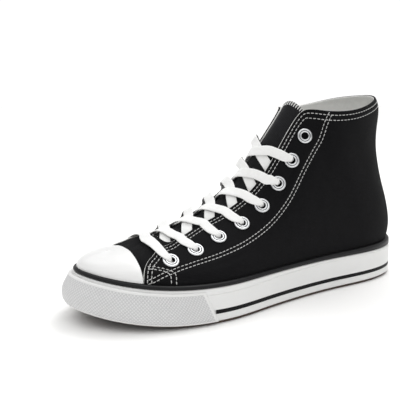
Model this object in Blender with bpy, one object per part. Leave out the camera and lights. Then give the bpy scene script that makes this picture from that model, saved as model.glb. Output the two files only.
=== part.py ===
"""High top canvas sneaker for the left foot, standing empty on its sole.

Metres, +Z up, toe towards -Y, outer side of the foot towards +X.
"""
import math

import bmesh
import bpy
import numpy as np
from mathutils import Matrix, Vector

# Sole
SOLE_LENGTH = 0.292
BALL_WIDTH = 0.103
OUTSOLE_THICKNESS = 0.002
OUTSOLE_TUCK = 0.0012
OUTSOLE_ROUND = 0.0013
DECK_HEIGHT = 0.0106
FOXING_HEIGHT = 0.0256
FOXING_THICKNESS = 0.003
FOXING_LEAN = 0.0009
FOXING_ROUND = 0.0010
TOE_SPRING = 0.0098
SPRING_BEND = 2.7
ARCH_LIFT = 0.0008
# Shares of SOLE_LENGTH: where the toe spring starts in front of the middle of the sole, and
# the middle of the arch behind it with the arch's reach each way
SPRING_START_SHARE = 0.158
ARCH_MIDDLE_SHARE = 0.10
ARCH_REACH_SHARE = 0.163
RAND_HEIGHT = 0.0028
RAND_HEEL_GAIN = 0.0030
RAND_THICKNESS = 0.0029
RAND_ROUND = 0.0010
STRIPE_HEIGHT = 0.0028
STRIPE_LEVEL = 0.0088
STRIPE_DEPTH = 0.0010
BUMPER_BULGE = 0.0072
BUMPER_EDGE = 0.0014
BUMPER_LIP = 0.0020
BUMPER_REACH = 0.0770
BUMPER_SLANT = 0.010

# Upper
INSTEP_HEIGHT = 0.062
SHAFT_HEIGHT = 0.079
WALL = 0.0020
QUARTER_STEP = 0.0009
TOE_CAP_THICKNESS = 0.0018
CAP_FOOT = 0.014
INSOLE_THICKNESS = 0.004
INSOLE_ROUND = 0.0010
TONGUE_THICKNESS = 0.0018
BRIDGE_CROWN = 1.7
TONGUE_REACH = 0.020
TONGUE_GAP = 0.0010
TONGUE_ABOVE_COLLAR = 0.007

# Lacing
EYELETS = 8
EYELET_PITCH = 0.0215
# How far from the throat's edge each eyelet sits, from the toe up to the collar
EYELET_INSETS = (0.0196, 0.0196, 0.0190, 0.0176, 0.0162, 0.0148, 0.0156, 0.0152)
EYELET_RADIUS = 0.0057
EYELET_HOLE_RADIUS = 0.0026
EYELET_METAL = 0.0006
EYELET_SEAT = 0.0006
EYELET_SIDES = 10
HOLE_DEPTH = 0.010
LACE_WIDTH = 0.008
LACE_THICKNESS = 0.0012
LACE_OVER_EYELET = 0.0007
# The bar lies over the vamp, ahead of its eyelets: rib key at its middle, and how it bends there
BAR_KEY = 0.118
BAR_BEND = 2.2
# A strap stays near its lower pair over the tongue and rises over the quarter: power of its way
STRAP_BEND = 1.3

# Clearance between pieces that touch on the real shoe
GAP = 0.0003

# Outline of the sole from above. along: share of SOLE_LENGTH from heel to toe.
# out: share of BALL_WIDTH from the middle line.
OUTLINE_OUTER = (
    # along, out
    (0.020, 0.160),
    (0.060, 0.265),
    (0.120, 0.330),
    (0.200, 0.357),
    (0.310, 0.362),
    (0.430, 0.388),
    (0.550, 0.437),
    (0.660, 0.488),
    (0.750, 0.482),
    (0.840, 0.425),
    (0.920, 0.310),
    (0.975, 0.160),
)
OUTLINE_INNER = (
    # along, out
    (0.975, 0.200),
    (0.920, 0.335),
    (0.840, 0.435),
    (0.750, 0.490),
    (0.680, 0.500),
    (0.580, 0.452),
    (0.460, 0.365),
    (0.360, 0.325),
    (0.260, 0.325),
    (0.180, 0.335),
    (0.100, 0.300),
    (0.050, 0.235),
    (0.020, 0.150),
)
OUTLINE_TOE = -0.020

# Ribs of the upper from the toe back to the heel, alike on both sides.
# foot: where the rib leaves the sole, share of SOLE_LENGTH from the toe.
# top: where it ends at the ridge, throat or collar, share of SOLE_LENGTH from the toe.
# instep, shaft: height of that end over the deck, shares of INSTEP_HEIGHT and SHAFT_HEIGHT.
# half: half width at that end, share of BALL_WIDTH.
# rise: share of the height at which the rib starts to lean in.
# crown: share of the width over which it flattens.
# slope: steepness at its end.
# low, mid, high: how far it bows out, shares of BALL_WIDTH.
RIBS = (
    # name, foot, top, instep, shaft, half, rise, crown, slope, low, mid, high
    ("toe", 0.000, 0.082, 0.518, 0.000, 0.000, 0.62, 0.52, 0.20, 0.000, 0.000, 0.000),
    ("toe corner", 0.022, 0.090, 0.520, 0.000, 0.000, 0.62, 0.52, 0.17, 0.000, 0.000, 0.000),
    ("toe side", 0.055, 0.100, 0.530, 0.000, 0.000, 0.60, 0.52, 0.10, 0.000, 0.000, 0.000),
    ("cap edge", 0.102, 0.114, 0.540, 0.000, 0.000, 0.54, 0.54, 0.06, 0.000, 0.000, 0.000),
    ("vamp", 0.106, 0.150, 0.586, 0.000, 0.000, 0.48, 0.52, 0.12, 0.000, 0.000, 0.000),
    ("quarter edge", 0.110, 0.178, 0.654, 0.000, 0.000, 0.46, 0.48, 0.16, 0.000, 0.000, 0.000),
    ("throat end", 0.130, 0.196, 0.706, 0.000, 0.000, 0.44, 0.46, 0.20, 0.000, 0.000, 0.000),
    ("first eyelet", 0.172, 0.216, 0.660, 0.000, 0.135, 0.38, 0.42, 0.42, 0.000, 0.000, 0.000),
    ("ball", 0.253, 0.298, 0.775, 0.000, 0.110, 0.36, 0.40, 0.56, 0.000, 0.000, 0.000),
    ("waist", 0.363, 0.390, 0.930, 0.000, 0.102, 0.38, 0.40, 0.64, 0.000, 0.000, 0.000),
    ("instep", 0.473, 0.471, 1.000, 0.130, 0.106, 0.46, 0.40, 0.78, 0.000, 0.000, 0.000),
    ("ankle", 0.575, 0.536, 1.000, 0.430, 0.118, 0.54, 0.40, 0.95, 0.000, 0.000, 0.000),
    ("collar corner", 0.644, 0.609, 1.000, 0.820, 0.134, 0.60, 0.36, 1.20, 0.000, 0.000, 0.000),
    ("corner bend", 0.671, 0.629, 1.000, 0.868, 0.172, 0.60, 0.34, 1.60, 0.000, 0.000, 0.000),
    ("collar front", 0.712, 0.660, 1.000, 0.858, 0.265, 0.50, 0.20, 2.40, 0.000, 0.000, 0.000),
    ("collar side", 0.791, 0.726, 1.000, 0.860, 0.330, 0.40, 0.15, 4.00, 0.020, -0.030, 0.000),
    ("collar rear", 0.877, 0.796, 1.000, 0.905, 0.310, 0.40, 0.20, 4.00, 0.065, -0.120, 0.030),
    ("heel side", 0.945, 0.863, 1.000, 0.965, 0.214, 0.40, 0.25, 4.00, 0.095, -0.230, 0.065),
    ("heel corner", 0.983, 0.898, 1.000, 0.990, 0.107, 0.40, 0.30, 4.00, 0.112, -0.290, 0.085),
    ("heel", 1.000, 0.911, 1.000, 1.000, 0.000, 0.40, 0.30, 4.00, 0.115, -0.300, 0.087),
)
# The throat's edge on the inner side stands further out and higher than the outer side's.
# half: further out, share of BALL_WIDTH. instep: higher, share of INSTEP_HEIGHT.
INNER_THROAT = (
    # name, half, instep
    ("ball", 0.019, 0.005),
    ("waist", 0.036, 0.035),
    ("instep", 0.070, 0.037),
    ("ankle", 0.024, 0.027),
    ("collar corner", -0.006, -0.006),
)
RIB_NAMES = [rib[0] for rib in RIBS]
RIB_VALUES = np.array([rib[1:] for rib in RIBS])


def spline(keys, values):
    """Smooth curve through values at keys that repeat every 2 units."""
    keys = np.concatenate([keys - 2.0, keys, keys + 2.0])
    values = np.concatenate([values] * 3)
    steps = np.diff(keys)
    count = len(keys)
    matrix = np.eye(count)
    right = np.zeros_like(values)
    for i in range(1, count - 1):
        matrix[i, i - 1] = steps[i - 1]
        matrix[i, i] = 2 * (steps[i - 1] + steps[i])
        matrix[i, i + 1] = steps[i]
        right[i] = 6 * ((values[i + 1] - values[i]) / steps[i] - (values[i] - values[i - 1]) / steps[i - 1])
    bend = np.linalg.solve(matrix, right)

    def at(where):
        where = np.asarray(where, float)
        i = np.clip(np.searchsorted(keys, where) - 1, 0, count - 2)
        h = steps[i][..., None]
        b = (where - keys[i])[..., None] / h
        a = 1 - b
        curve = ((a ** 3 - a) * bend[i] + (b ** 3 - b) * bend[i + 1]) * h ** 2 / 6
        return a * values[i] + b * values[i + 1] + curve

    return at


def steady(keys, values):
    """Curve through rising values at keys that never turns back between them."""
    keys = np.concatenate([keys - 2.0, keys, keys + 2.0])
    values = np.concatenate([values - 2.0, values, values + 2.0])
    steps = np.diff(keys)
    slopes = np.diff(values) / steps
    mean = 2 * slopes[1:] * slopes[:-1] / (slopes[1:] + slopes[:-1])
    mean = np.concatenate([slopes[:1], mean, slopes[-1:]])

    def at(where):
        where = np.asarray(where, float)
        i = np.clip(np.searchsorted(keys, where) - 1, 0, len(steps) - 1)
        b = (where - keys[i]) / steps[i]
        a = 1 - b
        ends = values[i] * a * a * (1 + 2 * b) + values[i + 1] * b * b * (1 + 2 * a)
        return ends + steps[i] * a * b * (mean[i] * a - mean[i + 1] * b)

    return at


def outline_samples():
    """Sole's outline as fine points and outward normals. Its key runs from -1 at the heel,
    up the inner side, through 0 at the toe and down the outer side to 1 at the heel."""
    points = [(OUTLINE_TOE, 1.0)]
    points += [(out, along) for along, out in reversed(OUTLINE_OUTER)]
    points += [(0.0, 0.0)]
    points += [(-out, along) for along, out in reversed(OUTLINE_INNER)]
    points = np.array(points) * (BALL_WIDTH, -SOLE_LENGTH) + (0, SOLE_LENGTH / 2)
    chord = np.linalg.norm(np.diff(points, axis=0, append=points[:1]), axis=1)
    keys = np.concatenate([[0], np.cumsum(np.sqrt(chord))])
    keys = keys * 2 / keys[-1]
    curve = spline(keys[:-1], points)
    fine = curve(np.linspace(0, 2, 4001))
    length = np.concatenate([[0], np.cumsum(np.linalg.norm(np.diff(fine, axis=0), axis=1))])
    heel = np.argmax(fine[:, 1])
    share = np.where(length <= length[heel], length / length[heel],
                     (length - length[-1]) / (length[-1] - length[heel]))
    tangent = np.gradient(fine, axis=0)
    tangent[0] = tangent[-1] = fine[1] - fine[-2]
    normal = np.c_[-tangent[:, 1], tangent[:, 0]]
    normal /= -np.linalg.norm(normal, axis=1)[:, None]
    order = np.concatenate([np.arange(heel + 1, 4000), np.arange(heel + 1)])
    share = share[order]
    fine = fine[order]
    normal = normal[order]
    ends = share[[-1]] - 2
    return np.concatenate([ends, share]), np.concatenate([fine[-1:], fine]), np.concatenate([normal[-1:], normal])


EDGE_KEYS, EDGE_POINTS, EDGE_NORMALS = outline_samples()


def wrap(where):
    """Key brought back between -1 and 1."""
    return (np.asarray(where, float) + 1) % 2 - 1


def edge(where, inset):
    """Point of the sole's outline, moved in by inset, and the outward normal there."""
    where = wrap(where)
    point = np.stack([np.interp(where, EDGE_KEYS, EDGE_POINTS[:, i]) for i in (0, 1)], axis=-1)
    normal = np.stack([np.interp(where, EDGE_KEYS, EDGE_NORMALS[:, i]) for i in (0, 1)], axis=-1)
    normal /= np.linalg.norm(normal, axis=-1)[..., None]
    return point - normal * np.asarray(inset, float)[..., None], normal


def lift(y):
    """How far the toe spring has raised the sole."""
    start = -SPRING_START_SHARE * SOLE_LENGTH
    return TOE_SPRING * np.clip((start - y) / (start + SOLE_LENGTH / 2), 0, 1.06) ** SPRING_BEND


def arch(y):
    """Shallow hollow under the waist, where the sole clears the ground."""
    return ARCH_LIFT * np.clip(1 - ((y / SOLE_LENGTH - ARCH_MIDDLE_SHARE) / ARCH_REACH_SHARE) ** 2, 0, 1) ** 2


def rand_top(y):
    """Height of the rand's upper edge over the raised sole, a little more at the heel."""
    back = np.clip(y / SOLE_LENGTH + 0.1, 0, 0.6) / 0.6
    return FOXING_HEIGHT + RAND_HEIGHT + RAND_HEEL_GAIN * back ** 2


def foot_keys(side):
    """Key on the sole's outline of each rib's foot."""
    on_side = EDGE_KEYS * side >= 0
    keys = np.abs(EDGE_KEYS[on_side])
    ys = EDGE_POINTS[on_side, 1]
    order = np.argsort(keys)
    share = (ys[order] + SOLE_LENGTH / 2) / SOLE_LENGTH
    found = np.interp(RIB_VALUES[:, 0], np.maximum.accumulate(share), keys[order])
    found[0] = 0.0
    found[-1] = 1.0
    return found * side


def rib_keys():
    """Each rib's own key, from 0 at the toe to 1 at the heel."""
    moved = np.abs(np.diff(RIB_VALUES[:, 0])) + np.linalg.norm(np.diff(RIB_VALUES[:, [1, 4]], axis=0), axis=1)
    key = np.concatenate([[0], np.cumsum(moved + 0.02)])
    return key / key[-1]


RIB_KEYS = rib_keys()


def rib_curves():
    """Smooth loops through the ribs, medial side at negative keys and lateral side at
    positive: key of the foot on the sole's outline, and the other columns of the table."""
    medial = RIB_VALUES[:, 1:] * (1, 1, 1, -1, 1, 1, 1, 1, 1, 1)
    for name, half, instep in INNER_THROAT:
        medial[RIB_NAMES.index(name), [3, 1]] += (-half, instep)
    keys = np.concatenate([-RIB_KEYS[:0:-1], RIB_KEYS[:-1]])
    feet = np.concatenate([foot_keys(-1)[:0:-1], foot_keys(1)[:-1]])
    rest = np.concatenate([medial[:0:-1], RIB_VALUES[:-1, 1:]])
    return steady(keys, feet), spline(keys, rest)


FOOT_CURVE, RIB_CURVE = rib_curves()


def rib_key(name):
    """Key of the named rib."""
    return RIB_KEYS[RIB_NAMES.index(name)]


UPPER_INSET = FOXING_LEAN + FOXING_THICKNESS + GAP


def form(where, up):
    """Outer face of the upper: rib key and share of the way up from the rand."""
    where, up = np.broadcast_arrays(np.asarray(where, float), np.asarray(up, float))
    row = RIB_CURVE(wrap(where))
    foot, normal = edge(FOOT_CURVE(wrap(where)), UPPER_INSET)
    foot_z = rand_top(foot[..., 1]) + lift(foot[..., 1])
    top_y = (row[..., 0] - 0.5) * SOLE_LENGTH
    top_x = row[..., 3] * BALL_WIDTH
    top_z = DECK_HEIGHT + lift(top_y) + row[..., 1] * INSTEP_HEIGHT + row[..., 2] * SHAFT_HEIGHT
    across = np.stack([top_x, top_y], axis=-1) - foot
    reach = np.linalg.norm(across, axis=-1)
    height = top_z - foot_z
    rise, crown, slope = row[..., 4], row[..., 5], row[..., 6]
    drop = np.minimum(slope * crown * reach, 0.5 * height)
    a, b = 1 - up, up
    h = 3 * a * b * b * (1 - crown) + b ** 3
    z = 3 * a * a * b * rise * height + 3 * a * b * b * (height - drop) + b ** 3 * height
    bow = row[..., 7] * 4 * b * a ** 3 + row[..., 8] * 6 * b * b * a * a + row[..., 9] * 4 * b ** 3 * a
    flat = foot + across * h[..., None] + normal * (bow * BALL_WIDTH)[..., None]
    return np.concatenate([flat, (foot_z + z)[..., None]], axis=-1)


def facing(where, up):
    """Outward unit normal of the upper's form."""
    where, up = np.broadcast_arrays(np.asarray(where, float), np.asarray(up, float))
    e = 0.002
    up = np.minimum(up, 0.985)
    low = np.clip(up - e, 0, 1)
    high = np.clip(up + e, 0, 1)
    along = form(where + e, up) - form(where - e, up)
    rising = form(where, high) - form(where, low)
    normal = np.cross(along, rising)
    return normal / np.linalg.norm(normal, axis=-1)[..., None]


def offset_form(where, up, out):
    """The upper's form moved out, or in where out is negative."""
    out = np.asarray(out, float)[..., None]
    return form(where, up) + facing(where, up) * out


def rib_columns(steps):
    """Keys of the wall's columns: so many steps between each rib and the next."""
    keys = []
    for low, high, count in zip(RIB_KEYS[:-1], RIB_KEYS[1:], steps):
        keys += list(np.linspace(low, high, count, endpoint=False))
    return np.array(keys + [1.0])


def mesh_object(name, points, faces, colour, roughness, metallic=0.0, smooth=40):
    """Object from points and faces, with its own material."""
    mesh = bpy.data.meshes.new(name)
    mesh.from_pydata([tuple(p) for p in points], [], faces)
    bm = bmesh.new()
    bm.from_mesh(mesh)
    bmesh.ops.remove_doubles(bm, verts=bm.verts, dist=1e-7)
    bmesh.ops.recalc_face_normals(bm, faces=bm.faces)
    if bm.calc_volume(signed=True) < 0:
        bmesh.ops.reverse_faces(bm, faces=bm.faces)
    bm.to_mesh(mesh)
    bm.free()
    mesh.shade_smooth()
    mesh.set_sharp_from_angle(angle=math.radians(smooth))
    made = bpy.data.objects.new(name, mesh)
    bpy.context.scene.collection.objects.link(made)
    mesh.materials.append(material(name, colour, roughness, metallic))
    return made


def material(name, colour, roughness, metallic):
    """Plain material from an sRGB hex colour."""
    made = bpy.data.materials.new(name)
    made.use_nodes = True
    shader = made.node_tree.nodes["Principled BSDF"]
    channels = [int(colour[i:i + 2], 16) / 255 for i in (1, 3, 5)]
    linear = [c / 12.92 if c <= 0.04045 else ((c + 0.055) / 1.055) ** 2.4 for c in channels]
    shader.inputs["Base Color"].default_value = (*linear, 1.0)
    shader.inputs["Roughness"].default_value = roughness
    shader.inputs["Metallic"].default_value = metallic
    return made


# Columns of the upper's wall between each rib and the next, and its rows from rand to top
WALL_COLUMNS = (3, 2, 2, 1, 1, 1, 2, 2, 3, 2, 3, 2, 1, 2, 2, 2, 2, 2, 3)
WALL_ROWS = np.array([0.0, 0.11, 0.25, 0.41, 0.57, 0.72, 0.86, 1.0])


def foot_loop():
    """Keys round the sole's outline where the wall's columns stand, from the heel up the
    inner side to the toe and back down the outer side."""
    side = rib_columns(WALL_COLUMNS)
    t = np.concatenate([-side[::-1], side[1:-1]])
    return FOOT_CURVE(t)


def ring(keys, inset, height):
    """Loop of points round the sole at an inset and a height over the raised sole.
    The height may be a function of y."""
    flat, _ = edge(keys, np.broadcast_to(inset, keys.shape))
    over = height(flat[:, 1]) if callable(height) else height
    return np.c_[flat, over + lift(flat[:, 1])]


def stacked(name, loops, colour, roughness, lids=True):
    """Closed solid from loops of points, each joined to the next, the first and the last
    closed by lids across the sole, or joined to each other where there are none."""
    count = len(loops[0])
    half = count // 2
    points = np.concatenate(loops)
    faces = []
    last = len(loops) - (1 if lids else 0)
    for k in range(last):
        a = k * count
        b = (k + 1) % len(loops) * count
        for i in range(count):
            j = (i + 1) % count
            faces.append((a + i, a + j, b + j, b + i))
    if lids:
        for k in (0, len(loops) - 1):
            rim = k * count
            outer = loops[k]
            spine = (outer[1:half] + outer[:half:-1]) / 2
            base = len(points) - 1
            points = np.concatenate([points, spine])
            for i in range(count):
                j = (i + 1) % count
                low, high = base + min(i, count - i), base + min(j, count - j)
                low, high = max(low, base + 1), max(high, base + 1)
                low, high = min(low, base + half - 1), min(high, base + half - 1)
                faces.append((rim + i, rim + j, high, low) if low != high else (rim + i, rim + j, low))
    return mesh_object(name, points, faces, colour, roughness)


def wall_inset(height):
    """How far in the foxing's outer face stands at a height over the ground."""
    return FOXING_LEAN * height / FOXING_HEIGHT


def strip(name, keys, profiles, colour, roughness):
    """Open ended strip: one closed profile of points at each key, with end faces."""
    count = len(profiles[0])
    points = np.concatenate(profiles)
    faces = []
    for k in range(len(keys) - 1):
        for i in range(count):
            j = (i + 1) % count
            faces.append((k * count + i, k * count + j, (k + 1) * count + j, (k + 1) * count + i))
    faces.append(tuple(range(count)))
    faces.append(tuple(range(len(points) - count, len(points))))
    return mesh_object(name, points, faces, colour, roughness)


def make_sole():
    """Outsole, midsole with its foxing wall, rand and insole."""
    keys = foot_loop()
    top = OUTSOLE_THICKNESS
    outsole = [
        ring(keys, OUTSOLE_TUCK + 4 * OUTSOLE_ROUND, arch),
        ring(keys, OUTSOLE_TUCK + OUTSOLE_ROUND, 0.0),
        ring(keys, OUTSOLE_TUCK, 0.5 * OUTSOLE_ROUND),
        ring(keys, OUTSOLE_TUCK * 0.6, top),
    ]
    stacked("outsole", outsole, "#2b2320", 0.75)

    groove_low = STRIPE_LEVEL - STRIPE_HEIGHT / 2 - GAP
    groove_high = STRIPE_LEVEL + STRIPE_HEIGHT / 2 + GAP
    inner = FOXING_LEAN + FOXING_THICKNESS
    midsole = [
        ring(keys, FOXING_ROUND, top + GAP),
        ring(keys, wall_inset(top + 2 * FOXING_ROUND), top + 2 * FOXING_ROUND),
        ring(keys, wall_inset(groove_low), groove_low),
        ring(keys, wall_inset(groove_low) + STRIPE_DEPTH, groove_low),
        ring(keys, wall_inset(groove_high) + STRIPE_DEPTH, groove_high),
        ring(keys, wall_inset(groove_high), groove_high),
        ring(keys, wall_inset(FOXING_HEIGHT), FOXING_HEIGHT),
        ring(keys, inner, FOXING_HEIGHT),
        ring(keys, inner, DECK_HEIGHT),
    ]
    stacked("midsole", midsole, "#ececea", 0.45)

    rand_out = wall_inset(FOXING_HEIGHT) + FOXING_THICKNESS - RAND_THICKNESS
    rand = [
        ring(keys, rand_out, FOXING_HEIGHT + GAP),
        ring(keys, rand_out + 0.0002, lambda y: rand_top(y) - RAND_ROUND),
        ring(keys, rand_out + RAND_ROUND, rand_top),
        ring(keys, inner, rand_top),
        ring(keys, inner, FOXING_HEIGHT + GAP),
    ]
    stacked("rand", rand, "#2c2c2e", 0.5, lids=False)

    insole_inset = UPPER_INSET + WALL + GAP
    base = DECK_HEIGHT + GAP
    insole = [
        ring(keys, insole_inset, base),
        ring(keys, insole_inset, base + INSOLE_THICKNESS - INSOLE_ROUND),
        ring(keys, insole_inset + INSOLE_ROUND, base + INSOLE_THICKNESS),
    ]
    stacked("insole", insole, "#d6d6d2", 0.85)


def bumper_end(side):
    """Key on the outline where the toe bumper ends, so far back along the side."""
    on_side = EDGE_KEYS * side >= 0
    ys = EDGE_POINTS[on_side, 1]
    keys = EDGE_KEYS[on_side]
    order = np.argsort(ys)
    return np.interp(-SOLE_LENGTH / 2 + BUMPER_REACH, ys[order], keys[order])


def key_shift(distance):
    """Change of outline key over a distance along the sole's side."""
    half = np.linalg.norm(np.diff(EDGE_POINTS, axis=0), axis=1).sum() / 2
    return distance / half


# Outer profile of the toe bumper. height: share from its foot to its lip.
# bulge: share of its greatest thickness.
BUMPER_PROFILE = (
    # height, bulge
    (0.00, 0.68),
    (0.12, 0.94),
    (0.32, 1.02),
    (0.58, 1.02),
    (0.85, 0.94),
    (0.96, 0.86),
    (1.00, 0.66),
)


def make_trim():
    """Toe bumper and side stripe on the foxing's outer face."""
    low, high = OUTSOLE_THICKNESS + 2 * GAP, FOXING_HEIGHT - BUMPER_LIP
    start, end = bumper_end(-1), bumper_end(1)
    slant = key_shift(BUMPER_SLANT)
    loop = foot_loop()
    between = loop[(loop > start + 0.6 * slant) & (loop < end - 0.6 * slant)]
    t = np.concatenate([[-1.0], np.interp(between, [start, 0, end], [-1, 0, 1]), [1.0]])
    thickness = BUMPER_EDGE + (BUMPER_BULGE - BUMPER_EDGE) * np.cos(t * math.pi / 2) ** 1.2

    def course(share):
        lean = slant * (0.5 - share)
        return np.concatenate([[start - lean], between, [end + lean]])

    columns = []
    for share, bulge in BUMPER_PROFILE:
        height = low + share * (high - low)
        columns.append(ring(course(share), wall_inset(height) - GAP - thickness * bulge, height))
    for share in (1.0, 0.0):
        height = low + share * (high - low)
        columns.append(ring(course(share), wall_inset(height) - 2 * GAP, height))
    profiles = [np.array([column[i] for column in columns]) for i in range(len(t))]
    strip("toe_bumper", t, profiles, "#e9e9e7", 0.5)

    level = (STRIPE_LEVEL - low) / (high - low)
    lean = slant * (0.5 - level) + key_shift(3 * GAP)
    loop = np.sort(loop % 2)
    t = np.concatenate([[end + lean], loop[(loop > end + lean + 0.004) & (loop < 2 + start - lean - 0.004)],
                        [2 + start - lean]])
    low, high = STRIPE_LEVEL - STRIPE_HEIGHT / 2, STRIPE_LEVEL + STRIPE_HEIGHT / 2
    depth = STRIPE_DEPTH - GAP
    corners = [(low, 0.0), (high, 0.0), (high, depth), (low, depth)]
    loops = [ring(t, wall_inset(height) + inset, height) for height, inset in corners]
    profiles = [np.array([loop[i] for loop in loops]) for i in range(len(t))]
    strip("side_stripe", t, profiles, "#1d1d1f", 0.45)


def make_upper():
    """One hollow wall, closed over the toe, open at the throat, the collar and underneath."""
    side = rib_columns(WALL_COLUMNS)
    keys = np.concatenate([side[:-1], side[-1:], -side[-2:0:-1]])
    count = len(keys)
    grid_key, grid_up = np.meshgrid(keys, WALL_ROWS, indexing="ij")
    closed = np.abs(keys) <= rib_key("throat end") + 1e-6
    vamp = np.clip((rib_key("quarter edge") - 1e-6 - np.abs(grid_key)) * 1e3, 0, 1)
    centre = closed[:, None] & (grid_up > 0.9)
    lower = np.where(centre, 1.0, vamp)
    outer = offset_form(grid_key, grid_up, -QUARTER_STEP * lower)
    inner = offset_form(grid_key, grid_up, -WALL)
    foot, _ = edge(FOOT_CURVE(keys), np.full(count, UPPER_INSET))
    foot_in, _ = edge(FOOT_CURVE(keys), np.full(count, UPPER_INSET + WALL))
    base = DECK_HEIGHT + GAP
    outer_foot = np.c_[foot, base + lift(foot[:, 1])]
    inner_foot = np.c_[foot_in, base + lift(foot[:, 1])]
    inner[:, 0, :2] = foot_in
    inner[:, 0, 2] = outer[:, 0, 2]
    for grid in (outer, inner):
        for i in np.flatnonzero(closed):
            j = (count - i) % count
            middle = (grid[i, -1] + grid[j, -1]) / 2
            middle[0] = 0.0
            grid[i, -1] = grid[j, -1] = middle
    outer = np.concatenate([outer_foot[:, None], outer], axis=1)
    inner = np.concatenate([inner_foot[:, None], inner], axis=1)
    rows = outer.shape[1]
    points = np.concatenate([outer.reshape(-1, 3), inner.reshape(-1, 3)])
    shift = count * rows
    faces = []
    for i in range(count):
        j = (i + 1) % count
        for k in range(rows - 1):
            a, b, c, d = i * rows + k, j * rows + k, j * rows + k + 1, i * rows + k + 1
            faces.append((a, b, c, d))
            faces.append((shift + d, shift + c, shift + b, shift + a))
        a, b = i * rows, j * rows
        faces.append((b, a, shift + a, shift + b))
        if not (closed[i] and closed[j]):
            a, b = i * rows + rows - 1, j * rows + rows - 1
            faces.append((a, b, shift + b, shift + a))
    upper = mesh_object("upper", points, faces, "#18181a", 0.9)
    return upper


def section(key):
    """Line across the shoe at a rib key, over the throat and down both sides, measured from
    its middle: outer side positive. The throat is bridged along the sides' own slope."""
    ups = np.linspace(0.25, 1.0, 90)
    outer = form(key, ups)
    inner = form(-key, ups)
    width = np.linalg.norm(outer[-1] - inner[-1])
    bridge = np.empty((0, 3))
    if width > 1e-4:
        pull_in = (inner[-1] - inner[-2]) / np.linalg.norm(inner[-1] - inner[-2]) * width * BRIDGE_CROWN
        pull_out = (outer[-2] - outer[-1]) / np.linalg.norm(outer[-2] - outer[-1]) * width * BRIDGE_CROWN
        t = np.linspace(0, 1, 21)[1:-1, None]
        bridge = ((2 * t ** 3 - 3 * t ** 2 + 1) * inner[-1] + (t ** 3 - 2 * t ** 2 + t) * pull_in
                  + (3 * t ** 2 - 2 * t ** 3) * outer[-1] + (t ** 3 - t ** 2) * pull_out)
        line = np.concatenate([inner, bridge, outer[::-1]])
    else:
        line = np.concatenate([inner, outer[-2::-1]])
    far = np.concatenate([[0], np.cumsum(np.linalg.norm(np.diff(line, axis=0), axis=1))])
    left, right = far[len(inner) - 1], far[len(inner) + len(bridge)] if len(bridge) else far[len(inner) - 1]
    return line, far - (left + right) / 2, (right - left) / 2


def across(key, far, out=0.0):
    """Points over the throat and the quarters at signed distances from the middle line,
    moved out along the surface's normal."""
    far = np.atleast_1d(np.asarray(far, float))
    e = 0.0012

    def at(where, distance):
        line, measure, _ = section(where)
        return np.stack([np.interp(distance, measure, line[:, i]) for i in range(3)], axis=-1)

    point = at(key, far)
    side = at(key, far + e) - at(key, far - e)
    along = at(key + e, far) - at(key - e, far)
    normal = np.cross(side, along)
    normal /= -np.linalg.norm(normal, axis=-1)[..., None]
    normal *= np.sign(normal[:, 2:3] - normal[:, 1:2])
    return point + normal * np.broadcast_to(out, far.shape)[..., None], normal


def eyelet_keys():
    """Rib key of each eyelet: evenly spaced along the throat from the first."""
    keys = np.linspace(rib_key("first eyelet"), rib_key("corner bend"), 120)
    line = np.array([across(k, section(k)[2] + EYELET_INSETS[-1])[0][0] for k in keys])
    far = np.concatenate([[0], np.cumsum(np.linalg.norm(np.diff(line, axis=0), axis=1))])
    return np.interp(np.arange(EYELETS) * EYELET_PITCH, far, keys)


def eyelet_places(side):
    """Centre and normal of each eyelet on the outer side (1) or the inner side (-1)."""
    places = []
    for key, inset in zip(eyelet_keys(), EYELET_INSETS):
        point, normal = across(key, side * (section(key)[2] + inset))
        places.append((point[0], normal[0]))
    return places


def turned(profile, sides):
    """Points and faces of a ring turned about Z from a closed profile of radius and height."""
    angles = np.arange(sides) * 2 * math.pi / sides
    points = [(r * math.cos(a), r * math.sin(a), z) for a in angles for r, z in profile]
    count = len(profile)
    faces = []
    for i in range(sides):
        for k in range(count):
            a, b = i * count + k, i * count + (k + 1) % count
            j = (i + 1) % sides
            faces.append((a, b, j * count + (k + 1) % count, j * count + k))
    return points, faces


def make_eyelets(upper):
    """Metal eyelets down both sides of the throat, through holes in the wall."""
    barrel = EYELET_HOLE_RADIUS + EYELET_METAL
    seat, top = EYELET_SEAT, EYELET_SEAT + EYELET_METAL
    profile = [
        (EYELET_HOLE_RADIUS, top),
        (EYELET_RADIUS, seat + 0.3 * EYELET_METAL),
        (barrel, seat),
        (barrel, -WALL - GAP / 2),
        (EYELET_HOLE_RADIUS, -WALL - GAP / 2),
    ]
    points, faces = turned(profile, EYELET_SIDES)
    cutters = bmesh.new()
    for side, label in ((1, "left"), (-1, "right")):
        for number, (place, normal) in enumerate(eyelet_places(side)):
            made = mesh_object(f"eyelet_{label}_{number + 1}", points, faces, "#c9cbce", 0.22, 1.0)
            turn = Vector(normal).to_track_quat("Z", "Y").to_matrix().to_4x4()
            made.matrix_world = Matrix.Translation(Vector(place)) @ turn
            drill = made.matrix_world @ Matrix.Rotation(math.pi / 2, 4, "Z")
            bmesh.ops.create_cone(cutters, cap_ends=True, segments=EYELET_SIDES, radius1=barrel + GAP,
                                  radius2=barrel + GAP, depth=HOLE_DEPTH, matrix=drill)
    mesh = bpy.data.meshes.new("eyelet_holes")
    cutters.to_mesh(mesh)
    cutters.free()
    holes = bpy.data.objects.new("eyelet_holes", mesh)
    bpy.context.scene.collection.objects.link(holes)
    holes.hide_render = True
    holes.display_type = "WIRE"
    cut = upper.modifiers.new("eyelet holes", "BOOLEAN")
    cut.operation = "DIFFERENCE"
    cut.solver = "EXACT"
    cut.object = holes


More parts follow.
